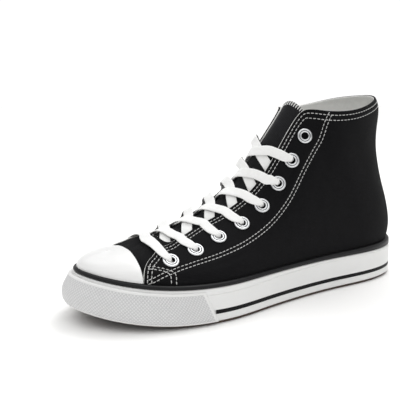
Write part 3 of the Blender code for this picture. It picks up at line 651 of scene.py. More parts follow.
def settled(points, where, up, rounds=8):
    """Rib keys and shares of the way up of the form's points nearest to the given ones."""
    e = 1e-4
    for _ in range(rounds):
        at = form(where, up)
        along = (form(where + e, up) - form(where - e, up)) / (2 * e)
        rising = (form(where, up + e) - form(where, up - e)) / (2 * e)
        miss = points - at
        a = (along * along).sum(-1)
        b = (along * rising).sum(-1)
        c = (rising * rising).sum(-1)
        p = (along * miss).sum(-1)
        q = (rising * miss).sum(-1)
        det = np.maximum(a * c - b * b, 1e-12)
        where = where + np.clip((c * p - b * q) / det, -0.02, 0.02)
        up = np.clip(up + np.clip((a * q - b * p) / det, -0.05, 0.05), 0.0, 1.01)
    return where, up


def evened(line, count):
    """Points of a polyline again at even spacing of their first three values."""
    far = travelled(line[:, :3])
    t = np.linspace(0, far[-1], count)
    return np.stack([np.interp(t, far, line[:, i]) for i in range(line.shape[1])], axis=-1)


def smoothed(knots, count=400):
    """Points on a smooth curve through the knots."""
    knots = np.asarray(knots, float)
    far = travelled(knots)
    slopes = np.gradient(knots, far, axis=0)
    t = np.linspace(0, far[-1], count)
    i = np.clip(np.searchsorted(far, t) - 1, 0, len(far) - 2)
    h = (far[i + 1] - far[i])[:, None]
    return bent(knots, slopes, i, h, (t - far[i])[:, None] / h)


def seam(knots, side, count=200):
    """Even rib keys and shares up along a seam. side 1 is the outer side, -1 the inner."""
    keys, ups = (smoothed(np.asarray(knots, float) * (1, 0.3)) / (1, 0.3)).T
    line = np.c_[form(keys * side, ups), keys * side, ups]
    line = evened(line, count)
    return line[:, 3], line[:, 4]


def beside(where, up, distance):
    """A seam moved sideways over the form by a distance, to its right as it runs."""
    line = form(where, up)
    tangent = np.gradient(line, axis=0)
    way = unit(np.cross(tangent, facing(where, up)))
    for _ in range(2):
        way = unit(way + np.roll(way, 1, axis=0) + np.roll(way, -1, axis=0))
    shift = way * np.broadcast_to(np.asarray(distance, float), (len(line),))[:, None]
    return settled(line + shift, where, up)


def hexed(colour):
    """Linear colour with alpha from an sRGB hex value."""
    channels = [int(colour[i:i + 2], 16) / 255 for i in (1, 3, 5)]
    return [c / 12.92 if c <= 0.04045 else ((c + 0.055) / 1.055) ** 2.4 for c in channels] + [1.0]


def add(tree, kind, sockets=(), **settings):
    """Adds a node with its settings. sockets gives inputs a value or another node's output."""
    made = tree.nodes.new(kind)
    for key, value in settings.items():
        setattr(made, key, value)
    for key, value in dict(sockets).items():
        if isinstance(value, bpy.types.NodeSocket):
            tree.links.new(value, made.inputs[key])
        else:
            made.inputs[key].default_value = value
    return made


def shader(name, sockets):
    """Material with its shader's own sockets set: returns material, node tree and shader."""
    made = bpy.data.materials.new(name)
    made.use_nodes = True
    main = made.node_tree.nodes["Principled BSDF"]
    for key, value in sockets.items():
        main.inputs[key].default_value = value
    return made, made.node_tree, main


def finished(made, shade, gloss, dent=None):
    """The material, with its colour, roughness and small bumps linked to its shader."""
    main = made.node_tree.nodes["Principled BSDF"]
    links = made.node_tree.links
    links.new(shade.outputs["Result"], main.inputs["Base Color"])
    links.new(gloss.outputs["Result"], main.inputs["Roughness"])
    if dent:
        links.new(dent.outputs["Normal"], main.inputs["Normal"])
    return made


def wave_scale(period):
    """Scale that gives a banded wave texture this period in metres."""
    return math.pi / (10 * period)


def piece(name, points, faces, finishes, uvs=None, kinds=None, sharp=50.0):
    """Mesh at its place in the frame, doubles merged, faces outwards, riding on the shoe."""
    mesh = bpy.data.meshes.new(name)
    mesh.from_pydata((np.asarray(points) + SHIFT).tolist(), [], [tuple(map(int, face)) for face in faces])
    for finish in finishes:
        mesh.materials.append(finish)
    if kinds is not None:
        mesh.polygons.foreach_set("material_index", np.asarray(kinds, np.int32))
    if uvs is not None:
        corner = np.empty(len(mesh.loops), np.int32)
        mesh.loops.foreach_get("vertex_index", corner)
        layer = mesh.uv_layers.new(name="cloth")
        layer.data.foreach_set("uv", np.asarray(uvs, np.float32)[corner].ravel())
    shape = bmesh.new()
    shape.from_mesh(mesh)
    bmesh.ops.remove_doubles(shape, verts=shape.verts, dist=2e-6)
    bmesh.ops.recalc_face_normals(shape, faces=shape.faces)
    limit = math.radians(sharp)
    for face in shape.faces:
        face.smooth = True
    for side in shape.edges:
        side.smooth = side.is_manifold and side.calc_face_angle(0.0) < limit
    shape.to_mesh(mesh)
    shape.free()
    made = bpy.data.objects.new(name, mesh)
    bpy.context.scene.collection.objects.link(made)
    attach(made, "root")
    return made


def grid_faces(columns, rows, start=0, flip=False):
    """Faces between the points of a grid laid out column by column."""
    i, k = np.meshgrid(np.arange(columns - 1), np.arange(rows - 1), indexing="ij")
    a = (start + i * rows + k).ravel()
    faces = np.stack([a, a + rows, a + rows + 1, a + 1], axis=-1)
    return faces[:, ::-1] if flip else faces


def lengths(grid):
    """Cloth coordinates of a grid in metres: along its middle row and up each column."""
    middle = grid[:, grid.shape[1] // 2]
    along = travelled(middle)
    rising = np.cumsum(np.linalg.norm(np.diff(grid, axis=1), axis=2), axis=1)
    rising = np.concatenate([np.zeros((len(grid), 1)), rising], axis=1)
    return np.stack([np.broadcast_to(along[:, None], rising.shape), rising], axis=-1)


def border(columns, rows):
    """Indexes of a grid's border as one loop, with the way out of the grid at each."""
    c, r = columns - 1, rows - 1
    loop = [(i, 0) for i in range(c)] + [(c, k) for k in range(r)]
    loop += [(i, r) for i in range(c, 0, -1)] + [(0, k) for k in range(r, 0, -1)]
    loop = np.array(loop)
    inside = np.clip(loop, 1, [c - 1, r - 1])
    return loop, inside


def rolled(outer, inner, near, angles=(45, 90, 135), swell=1.0):
    """Lines of points that round off a sheet's edge, from its outer face to its inner one.
    near is the line of the outer face next to the edge."""
    half = (outer - inner) / 2
    thick = np.linalg.norm(half, axis=1)[:, None]
    out = outer - near
    out -= half * (out * half).sum(axis=1)[:, None] / np.maximum(thick, 1e-9) ** 2
    out /= np.maximum(np.linalg.norm(out, axis=1)[:, None], 1e-9)
    return [(outer + inner) / 2 + half * math.cos(a) + out * thick * swell * math.sin(a)
            for a in map(math.radians, angles)]


def sheet(name, outer, inner, finishes, lined_column=-1):
    """Closed sheet between two grids, with a rounded edge all round. The edge has the second
    finish along the lined column of the grids, where one is given."""
    columns, rows = outer.shape[:2]
    loop, inside = border(columns, rows)
    rims = rolled(outer[loop[:, 0], loop[:, 1]], inner[loop[:, 0], loop[:, 1]],
                  outer[inside[:, 0], inside[:, 1]])
    points = np.concatenate([outer.reshape(-1, 3), inner.reshape(-1, 3)] + rims)
    cloth_place = lengths(outer)
    edge_place = cloth_place[loop[:, 0], loop[:, 1]]
    flat = cloth_place.reshape(-1, 2)
    uvs = np.concatenate([flat, flat] + [edge_place] * 3)
    size = columns * rows
    count = len(loop)
    index = loop[:, 0] * rows + loop[:, 1]
    rings = [index] + [2 * size + k * count + np.arange(count) for k in range(3)] + [size + index]
    faces = [grid_faces(columns, rows), grid_faces(columns, rows, size, flip=True)]
    kinds = [np.zeros(len(faces[0]), int), np.full(len(faces[1]), len(finishes) > 1, int)]
    around = np.arange(count)
    behind = np.roll(around, -1)
    edge_kinds = (loop[:, 0] == lined_column).astype(int)
    for low, high in zip(rings[:-1], rings[1:]):
        faces.append(np.stack([low[behind], low[around], high[around], high[behind]], axis=-1))
        kinds.append(edge_kinds)
    return piece(name, points, np.concatenate(faces), finishes, uvs, np.concatenate(kinds))


def rounds(name, loops, finishes, slot, lids=True, sharp=50.0, uvs=False):
    """Closed solid from loops round the sole, each joined to the next. The first and the
    last are closed by lids across the sole, or joined to each other where there are none."""
    count = len(loops[0])
    points = np.concatenate(loops)
    around = np.arange(count)
    behind = np.roll(around, -1)
    faces = []
    last = len(loops) - (1 if lids else 0)
    for k in range(last):
        a, b = k * count, (k + 1) % len(loops) * count
        faces.append(np.stack([a + around, a + behind, b + behind, b + around], axis=-1))
    faces = np.concatenate(faces).tolist()
    if lids:
        half = count // 2
        for k in (0, len(loops) - 1):
            rim = k * count
            spine = (loops[k][1:half] + loops[k][:half:-1]) / 2
            base = len(points) - 1
            points = np.concatenate([points, spine])
            for i in range(count):
                j = (i + 1) % count
                near, far = (base + min(max(min(n, count - n), 1), half - 1) for n in (i, j))
                faces.append((rim + i, rim + j, far, near) if near != far else (rim + i, rim + j, near))
    flat = points[:, :2] if uvs else None
    return piece(name, points, faces, finishes, flat, None, sharp)


def tube_faces(steps, count, start=0):
    """Faces of a tube with closed ends, its points laid out in rings of so many from start."""
    end = start + (steps - 1) * count
    faces = [(a + i, a + (i + 1) % count, a + count + (i + 1) % count, a + count + i)
             for a in range(start, end, count) for i in range(count)]
    return faces + [tuple(range(start + count - 1, start - 1, -1)), tuple(range(end, end + count))]


def sweep(profiles):
    """Points and faces of a strip from one closed profile to the next, with ends closed."""
    return profiles.reshape(-1, 3), tube_faces(*profiles.shape[:2])


def smooth_step(value, low, high):
    """Rises smoothly from 0 at low to 1 at high."""
    t = np.clip((np.asarray(value, float) - low) / (high - low), 0, 1)
    return t * t * (3 - 2 * t)


def woven(name, low, high, thread, depth, rough, sheen):
    """Cloth of two crossing sets of threads, from the piece's own UV map in metres."""
    made, tree, _ = shader(name, {"Sheen Weight": sheen, "Sheen Roughness": 0.6,
                                  "Specular IOR Level": 0.1})
    place = add(tree, "ShaderNodeUVMap").outputs["UV"]
    warp, weft = (add(tree, "ShaderNodeTexWave", {"Vector": place, "Scale": wave_scale(thread * apart),
                                                  "Distortion": 1.4, "Detail": 1.0, "Detail Scale": 0.6},
                      wave_type="BANDS", bands_direction=way).outputs["Fac"]
                  for apart, way in ((1.0, "X"), (1.15, "Y")))
    cross = add(tree, "ShaderNodeMath", {0: warp, 1: weft}, operation="MAXIMUM").outputs[0]
    slub = add(tree, "ShaderNodeTexNoise", {"Vector": place, "Scale": 0.22 / thread, "Detail": 4.0,
                                            "Roughness": 0.6}).outputs["Fac"]
    blend = add(tree, "ShaderNodeMath", {0: cross, 1: slub}, operation="MULTIPLY").outputs[0]
    shade = add(tree, "ShaderNodeMix", {"Factor": blend, "A": hexed(low), "B": hexed(high)},
                data_type="RGBA")
    worn = add(tree, "ShaderNodeMapRange", {"Value": slub, "From Min": 0.3, "From Max": 0.7,
                                            "To Min": rough - 0.06, "To Max": rough + 0.04})
    dent = add(tree, "ShaderNodeBump", {"Height": blend, "Strength": 0.9, "Distance": depth})
    return finished(made, shade, worn, dent)


def moulded(name, low, high, rough, grain, depth, sockets=()):
    """Moulded or calendered rubber: soft cloudiness, fine grain and uneven gloss."""
    made, tree, _ = shader(name, dict({"IOR": 1.52, "Specular IOR Level": 0.45}, **dict(sockets)))
    place = add(tree, "ShaderNodeTexCoord").outputs["Object"]
    cloud = add(tree, "ShaderNodeTexNoise", {"Vector": place, "Scale": 22.0, "Detail": 5.0,
                                             "Roughness": 0.6}).outputs["Fac"]
    fine = add(tree, "ShaderNodeTexNoise", {"Vector": place, "Scale": 1.0 / grain,
                                            "Detail": 3.0}).outputs["Fac"]
    shade = add(tree, "ShaderNodeMix", {"Factor": cloud, "A": hexed(low), "B": hexed(high)},
                data_type="RGBA")
    gloss = add(tree, "ShaderNodeMapRange", {"Value": cloud, "From Min": 0.3, "From Max": 0.7,
                                             "To Min": rough - 0.07, "To Max": rough + 0.07})
    dent = add(tree, "ShaderNodeBump", {"Height": fine, "Strength": 0.6, "Distance": depth})
    return finished(made, shade, gloss, dent)


# Cotton duck dyed black: matt, with a faint plain weave that catches the light on its threads.
# Real threads are 0.5 mm apart; they are drawn 0.9 mm apart so that the render can show them.
BLACK_CANVAS = woven("black cotton duck", "#050506", "#19191b", 0.0009, 0.00030, 0.9, 0.014)
# The tongue's single layer of the same duck is a little greyer and its weave shows more.
TONGUE_CANVAS = woven("black cotton duck single layer", "#0c0c0d", "#2b2b2e", 0.0011, 0.00030, 0.88, 0.05)
# Bleached cotton drill lining: soft grey white, smoother than the outside.
COTTON_LINING = woven("bleached cotton drill", "#dcdcd9", "#f6f6f3", 0.0009, 0.00014, 0.9, 0.1)
# Cotton cloth bonded on foam under the foot: warm white and dull.
INSOLE_CLOTH = woven("cotton faced foam", "#b4b2ac", "#d6d4cf", 0.0011, 0.00014, 0.92, 0.1)
# Flat woven cotton lace: clean white, with a rib for each strand, 0.8 mm apart.
LACE_COTTON = woven("flat woven cotton lace", "#e6e6e4", "#ffffff", 0.0008, 0.00028, 0.85, 0.15)
# Calendered vulcanised rubber of the foxing: clean off white, satin.
FOXING_RUBBER = moulded("white vulcanised rubber", "#d8d8d7", "#e6e6e5", 0.46, 0.0011, 0.00003)
# Pressed rubber of the toe cap: the whitest and smoothest part, with a soft shine.
CAP_RUBBER = moulded("pressed white rubber", "#dedede", "#e8e8e7", 0.36, 0.0016, 0.00002,
                     {"Coat Weight": 0.12, "Coat Roughness": 0.3})
# Black rubber of the rand: charcoal, with a satin edge highlight.
BLACK_RUBBER = moulded("black vulcanised rubber", "#0c0c0d", "#151517", 0.42, 0.0012, 0.00003,
                       {"Specular IOR Level": 0.22})
# Thin strip of black rubber let into the foxing: the darkest line on the shoe, nearly matt.
STRIPE_RUBBER = moulded("black rubber strip", "#060607", "#0d0d0f", 0.5, 0.0012, 0.00003,
                        {"Specular IOR Level": 0.12})
# Gum rubber of the outsole: dark brown and dull.
GUM_RUBBER = moulded("dark gum rubber", "#2e211a", "#46301f", 0.62, 0.0014, 0.00005)


def diamond_rubber():
    """Dull white rubber of the bumper's pattern, its colour set greyer than the foxing's as painted shade of
    the fine diamonds: the grooves between them are greyer still, as painted shade.
    """
    # Base colours darker than the foxing's: painted shade of the pattern's fine relief
    made = moulded("textured white rubber", "#d0d0d1", "#dddddd", 0.52, 0.0011, 0.00003)
    tree = made.node_tree
    place = add(tree, "ShaderNodeUVMap").outputs["UV"]
    apart = add(tree, "ShaderNodeSeparateXYZ", {"Vector": place}).outputs
    half = DIAMOND_PITCH / math.sqrt(2)
    lines = []
    for way in ("ADD", "SUBTRACT"):
        slanted = add(tree, "ShaderNodeMath", {0: apart["X"], 1: apart["Y"]}, operation=way).outputs[0]
        lines.append(add(tree, "ShaderNodeMath", {0: slanted, 1: half}, operation="PINGPONG").outputs[0])
    deep = add(tree, "ShaderNodeMath", {0: lines[0], 1: lines[1]}, operation="MAXIMUM").outputs[0]
    groove = add(tree, "ShaderNodeMapRange", {"Value": deep, "From Min": 0.45 * half, "From Max": half,
                                              "To Min": 0.0, "To Max": 0.46})
    main = tree.nodes["Principled BSDF"]
    plain = main.inputs["Base Color"].links[0].from_socket
    # Painted shade: the grooves between the diamonds are mixed towards this grey
    shade = add(tree, "ShaderNodeMix", {"Factor": groove.outputs["Result"], "A": plain,
                                        "B": hexed("#979798")}, data_type="RGBA")
    tree.links.new(shade.outputs["Result"], main.inputs["Base Color"])
    return made


BUMPER_RUBBER = diamond_rubber()


def thread_material(name, low, high):
    """Twisted thread: fine slanted strands, matt."""
    made, tree, _ = shader(name, {"Sheen Weight": 0.1, "Specular IOR Level": 0.3})
    place = add(tree, "ShaderNodeTexCoord").outputs["Object"]
    ply = add(tree, "ShaderNodeTexWave", {"Vector": place, "Scale": wave_scale(0.0008), "Distortion": 0.6},
              wave_type="BANDS", bands_direction="DIAGONAL").outputs["Fac"]
    fuzz = add(tree, "ShaderNodeTexNoise", {"Vector": place, "Scale": 900.0, "Detail": 2.0}).outputs["Fac"]
    shade = add(tree, "ShaderNodeMix", {"Factor": ply, "A": hexed(low), "B": hexed(high)}, data_type="RGBA")
    dull = add(tree, "ShaderNodeMapRange", {"Value": fuzz, "To Min": 0.72, "To Max": 0.9})
    dent = add(tree, "ShaderNodeBump", {"Height": ply, "Strength": 0.5, "Distance": 0.00008})
    return finished(made, shade, dull, dent)


def plated_metal(name, low, high, rough):
    """Pressed and plated metal with uneven gloss from handling."""
    made, tree, _ = shader(name, {"Metallic": 1.0})
    place = add(tree, "ShaderNodeTexCoord").outputs["Object"]
    smear = add(tree, "ShaderNodeTexNoise", {"Vector": place, "Scale": 120.0, "Detail": 3.0}).outputs["Fac"]
    shade = add(tree, "ShaderNodeMix", {"Factor": smear, "A": hexed(low), "B": hexed(high)}, data_type="RGBA")
    gloss = add(tree, "ShaderNodeMapRange", {"Value": smear, "From Min": 0.3, "From Max": 0.7,
                                             "To Min": rough - 0.04, "To Max": rough + 0.06})
    return finished(made, shade, gloss)


# Light grey polyester thread of the seams
SEAM_THREAD = thread_material("light grey sewing thread", "#a3a3a2", "#d2d2d0")
# Black and white threads of the tongue's oversewn edge
BLACK_THREAD = thread_material("black sewing thread", "#131315", "#2a2a2d")
WHITE_THREAD = thread_material("white sewing thread", "#c4c4c2", "#eeeeec")
# Bright silver of the eyelets' rings: clear highlights with soft edges
EYELET_METAL_FINISH = plated_metal("nickel plated brass", "#c9cbcd", "#eff0f1", 0.30)
# Painted shade in the groove between the rings and in the barrel: the dark lines of an eyelet
EYELET_PAINTED_SHADE_FINISH = plated_metal("brass with painted shade", "#2a2a2a", "#454443", 0.5)


def fold(where, up):
    """How far the canvas's soft folds and slackness move its surface out."""
    key = np.abs(wrap(where)) + np.where(wrap(where) < 0, 0.012, 0.0)
    total = 0.00016 * (np.sin(41 * key + 3.1 * up) * np.sin(7 * up + 9 * key)
                       + 0.7 * np.sin(83 * key - 8 * up + 1.3) * np.sin(15 * up + 1.0))
    for at, level, along, rise, slant, depth in FOLDS:
        du = key - at
        dv = up - level - 3 * slant * du
        total = total + depth * np.exp(-(du / along) ** 2 - (dv / rise) ** 2)
    return total * smooth_step(up, 0.0, 0.12) * smooth_step(1 - up, 0.0, 0.16)


def cloth(where, up, out=0.0):
    """Point over the upper's form at a height, with the canvas's folds and a rounded ridge."""
    where, up = np.broadcast_arrays(np.asarray(where, float), np.asarray(up, float))
    row = RIB_CURVE(wrap(where))
    point = form(where, up)
    foot, _ = edge(FOOT_CURVE(wrap(where)), UPPER_INSET)
    span = np.abs(row[..., 3] * BALL_WIDTH - foot[..., 0])
    reach = np.hypot(span, (row[..., 0] - 0.5) * SOLE_LENGTH - foot[..., 1])
    slope = row[..., 6] * span / reach
    drop = slope * np.clip(RIDGE_WIDTH - np.abs(point[..., 0]), 0, None) ** 2 / (2 * RIDGE_WIDTH)
    drop = drop * (np.abs(wrap(where)) < 0.25)
    point = point + facing(where, up) * (np.asarray(out, float) + fold(where, up))[..., None]
    point[..., 2] -= drop
    return point


def quarter_front(up):
    """Rib key of the quarter's front edge at a share of the way up."""
    return steady_line(QUARTER_FRONT, up)


def steady_line(table, at):
    """Smooth values of a table's second column over its first."""
    x, y = table.T
    slopes = np.gradient(y, x)
    i = np.clip(np.searchsorted(x, at) - 1, 0, len(x) - 2)
    h = x[i + 1] - x[i]
    return bent(y, slopes, i, h, (np.asarray(at, float) - x[i]) / h)


def stitch_rows(side):
    """Every row of stitches on one side, as rib keys and shares of the way up."""
    ups = np.linspace(0.0, 1.0, 120)
    front = np.c_[quarter_front(ups), ups]
    back = np.linspace(quarter_front(1.0), 0.985, 400)[1:]
    rim = np.concatenate([front, np.c_[back, np.ones(len(back))]])
    keys, ups = rim[:, 0] * side, rim[:, 1]
    line = evened(np.c_[form(keys, ups), keys, ups], 420)
    keys, ups = line[:, 3], line[:, 4]
    collar = smooth_step(np.abs(keys), 0.55, 0.62)
    second = STITCH_ROW_2 + (COLLAR_ROW_2 - STITCH_ROW_2) * collar
    rows = []
    for inward in (np.full(len(keys), STITCH_ROW_1), second):
        rows.append(beside(keys, ups, inward * side))
    keys, ups = seam(EYESTAY_SEAM, side)
    for away in (-ROW_SPACING / 2, ROW_SPACING / 2):
        rows.append(beside(keys, ups, away))
    rows += [seam(PATCH_SEAM, side), seam(PATCH_INNER_SEAM, side)]
    ups = np.linspace(0.015, 0.985, 90)
    for inward in HEEL_ROWS:
        rows.append((np.full(90, (1 - (HEEL_STRIP - inward)) * side), ups))
    return rows


def near_seams(points, lines):
    """Distance from each point to the nearest seam."""
    flat = points.reshape(-1, 3)
    tree = KDTree(len(lines))
    for i, place in enumerate(lines):
        tree.insert(place, i)
    tree.balance()
    return np.array([tree.find(place)[2] for place in flat]).reshape(points.shape[:-1])


def make_quarter(side):
    """Canvas quarter of one side with its rounded edges, pressed in along its seams."""
    spread = np.concatenate([np.linspace(0, 0.15, 90, endpoint=False), np.linspace(0.15, 1, 331)])
    ups = np.linspace(0, 1, 97)
    grid_s, grid_up = np.meshgrid(spread, ups, indexing="ij")
    front = quarter_front(grid_up)
    keys = (front + (1 - front) * grid_s) * side
    lines = np.concatenate([evened(form(*row), 700) for row in ROWS[side]])
    outer = cloth(keys, grid_up)
    near = near_seams(outer, lines)
    press = (-PULL_DEPTH * np.exp(-(near / PULL_REACH) ** 2)
             + PUFF_HEIGHT * np.exp(-((near - PUFF_AWAY) / PUFF_REACH) ** 2))
    outer = outer + facing(keys, grid_up) * press[..., None]
    inner = cloth(keys, grid_up, -CANVAS)
    label = "outer" if side > 0 else "inner"
    front_column = 0
    if side < 0:
        outer, inner = outer[::-1], inner[::-1]
        front_column = len(spread) - 1
    return sheet(f"quarter_{label}", outer, inner, [BLACK_CANVAS, COTTON_LINING], front_column)


def make_vamp():
    """Vamp and the inside of the upper in one hollow wall: canvas outside, lining inside."""
    side = rib_columns(tuple(5 * steps for steps in WALL_COLUMNS))
    keys = np.concatenate([-side[:0:-1], side])
    count = len(keys)
    ups = np.linspace(0, 1, 49)
    grid_key, grid_up = np.meshgrid(keys, ups, indexing="ij")
    closed = np.abs(keys) <= rib_key("throat end") + 1e-6
    height = np.linalg.norm(np.diff(form(grid_key, grid_up), axis=1), axis=2).sum(axis=1)
    throat = 1 - smooth_step(np.abs(keys), CORNER_KEY + 0.002, CORNER_KEY + 0.02)
    over = np.where(closed, 0.0, (throat * 0.0004 - (1 - throat) * COLLAR_TUCK) / height)
    grid_up = grid_up * (1 + over[:, None])
    outer = cloth(grid_key, grid_up, -QUARTER_STEP)
    inner = cloth(grid_key, grid_up, -WALL)
    foot, _ = edge(FOOT_CURVE(keys), np.full(count, UPPER_INSET))
    foot_in, _ = edge(FOOT_CURVE(keys), np.full(count, UPPER_INSET + WALL))
    base = DECK_HEIGHT + GAP
    inner[:, 0, :2] = foot_in
    inner[:, 0, 2] = outer[:, 0, 2]
    for grid in (outer, inner):
        middle = (grid[:, -1] + grid[::-1, -1]) / 2
        middle[:, 0] = 0.0
        grid[closed, -1] = middle[closed]
    outer = np.concatenate([np.c_[foot, base + lift(foot[:, 1])][:, None], outer], axis=1)
    inner = np.concatenate([np.c_[foot_in, base + lift(foot[:, 1])][:, None], inner], axis=1)
    rows = outer.shape[1]
    size = count * rows
    rims = rolled(outer[:, -1], inner[:, -1], outer[:, -2])
    points = np.concatenate([outer.reshape(-1, 3), inner.reshape(-1, 3)] + rims)
    place = lengths(outer)
    uvs = np.concatenate([place.reshape(-1, 2)] * 2 + [place[:, -1]] * 3)
    faces = [grid_faces(count, rows), grid_faces(count, rows, size, flip=True)]
    kinds = [np.zeros(len(faces[0]), int), np.ones(len(faces[1]), int)]
    column = np.arange(count - 1)
    low = column * rows
    faces.append(np.stack([low + rows, low, size + low, size + low + rows], axis=-1))
    kinds.append(np.ones(len(column), int))
    open_columns = column[~(closed[:-1] & closed[1:])]
    top = np.arange(count) * rows + rows - 1
    rings = [top] + [2 * size + k * count + np.arange(count) for k in range(3)] + [size + top]
    light = (np.abs(keys[open_columns]) < CORNER_KEY + 0.012).astype(int)
    for number, (a, b) in enumerate(zip(rings[:-1], rings[1:])):
        c = open_columns
        faces.append(np.stack([a[c], a[c + 1], b[c + 1], b[c]], axis=-1))
        kinds.append(light if number < 2 else np.ones_like(light))
    # Closes the rim's two ends, where the throat begins
    ends = [[int(ring_row[at]) for ring_row in rings] for at in np.flatnonzero(closed)[[0, -1]]]
    kinds.append(np.zeros(2, int))
    made = piece("vamp_and_lining", points, np.concatenate(faces).tolist() + ends,
                 [BLACK_CANVAS, COTTON_LINING], uvs, np.concatenate(kinds))
    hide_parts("upper")
    return made


def make_heel_strip():
    """Canvas strip up the back seam of the heel."""
    keys = np.linspace(1 - HEEL_STRIP, 1 + HEEL_STRIP, 61)
    ups = np.linspace(0.004, 0.998, 80)
    grid_key, grid_up = np.meshgrid(keys, ups, indexing="ij")
    outer = cloth(grid_key, grid_up, 0.00055)
    inner = cloth(grid_key, grid_up, 0.00002)
    return sheet("heel_strip", outer, inner, [BLACK_CANVAS])


def make_tongue():
    """Tongue: canvas over a lining that shows as a pale line down its edges."""
    keys = np.linspace(rib_key("vamp"), rib_key("collar corner"), 90)
    depth = WALL + TONGUE_GAP
    layers = []
    for out, wider in ((-depth, 0.0), (-depth - 0.0011, 0.0), (-depth - 0.00115, 0.0006),
                       (-depth - TONGUE_THICKNESS, 0.0006)):
        grid = []
        for key in keys:
            half = TONGUE_REACH + section(key)[2] + wider
            grid.append(across(key, np.linspace(-half, half, 61), out)[0])
        reach = grid[-1].mean(axis=0) - grid[-2].mean(axis=0)
        reach /= np.linalg.norm(reach)
        end = TONGUE_ABOVE_COLLAR - (0.0004 if wider else 0.0)
        steps = np.linspace(0, end, 9)[1:]
        low_side = (1 - smooth_step(np.linspace(-1, 1, 61), -0.3, 0.9))[:, None]
        grid += [grid[-1] + reach * (step - low_side * TONGUE_LOW_SIDE * step / end) for step in steps]
        layers.append(np.array(grid))
    shift = 0.00012 * np.sin(np.linspace(0, 60, layers[0].shape[0]))[:, None, None]
    layers = [layer + (0, 0, 1) * shift for layer in layers]
    face = sheet("tongue_canvas", layers[0], layers[1], [TONGUE_CANVAS])
    sheet("tongue_lining", layers[2], layers[3], [COTTON_LINING])
    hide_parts("tongue")
    return layers[0][-1], layers[3][-1], layers[0][-1] - layers[0][-2]


def make_toe_cap():
    """Smooth rubber cap over the toe, rounded off along its back edge."""
    share = np.linspace(-1, 1, 181)
    ups = np.concatenate([[CAP_FOOT], np.linspace(0.03, 1, 64)])
    grid_share, grid_up = np.meshgrid(share, ups, indexing="ij")
    end = steady_line(CAP_BACK, grid_up)
    keys = grid_share * end
    round_off = np.clip((1 - np.abs(grid_share)) / 0.012, 0, 1)
    over = TOE_CAP_THICKNESS - QUARTER_STEP - 0.0002 * (1 - np.sqrt(1 - (1 - round_off) ** 2))
    outer = cloth(keys, grid_up, over)
    inner = cloth(keys, grid_up, -QUARTER_STEP + 0.00003)
    for grid in (outer, inner):
        middle = (grid[:, -1] + grid[::-1, -1]) / 2
        middle[:, 0] = 0.0
        grid[:, -1] = middle
    count, rows = grid_up.shape
    size = count * rows
    points = [outer.reshape(-1, 3), inner.reshape(-1, 3)]
    faces = [grid_faces(count, rows), grid_faces(count, rows, size, flip=True)]
    column = np.arange(count - 1) * rows
    faces.append(np.stack([column + rows, column, size + column, size + column + rows], axis=-1))
    start = 2 * size
    for at, near in ((0, 1), (count - 1, count - 2)):
        rings = [at * rows + np.arange(rows)]
        for line in rolled(outer[at], inner[at], outer[near], (30, 60, 90, 120, 150), 0.8):
            points.append(line)
            rings.append(start + np.arange(rows))
            start += rows
        rings.append(size + at * rows + np.arange(rows))
        for low, high in zip(rings[:-1], rings[1:]):
            faces.append(np.stack([low[:-1], low[1:], high[1:], high[:-1]], axis=-1))
    faces = np.concatenate(faces).tolist()
    # Closes the small opening left at the foot of each rounded edge
    for at in (0, 1):
        base = 2 * size + at * 5 * rows
        column = (0 if at == 0 else count - 1) * rows
        faces.append([column] + [base + k * rows for k in range(5)] + [size + column])
    made = piece("toe_cap_rubber", np.concatenate(points), faces, [CAP_RUBBER])
    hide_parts("toe_cap")


def sole_keys(count):
    """Keys at even steps round the sole's outline, from the heel's middle."""
    far = travelled(EDGE_POINTS)
    order = np.argsort(EDGE_KEYS)
    heel_in, toe, heel_out = np.interp([-1.0, 0.0, 1.0], EDGE_KEYS[order], far[order])
    first = np.linspace(heel_in, toe, count // 2, endpoint=False)
    second = np.linspace(toe, heel_out, count // 2, endpoint=False)
    return np.interp(np.concatenate([first, second]), far[order], EDGE_KEYS[order])


def step_line(y):
    """Height of the faint step along the foxing: low at the bumper, close to the top behind."""
    t = smooth_step(y, -0.075, 0.075)
    return FOXING_HEIGHT - 0.0047 + 0.0031 * t


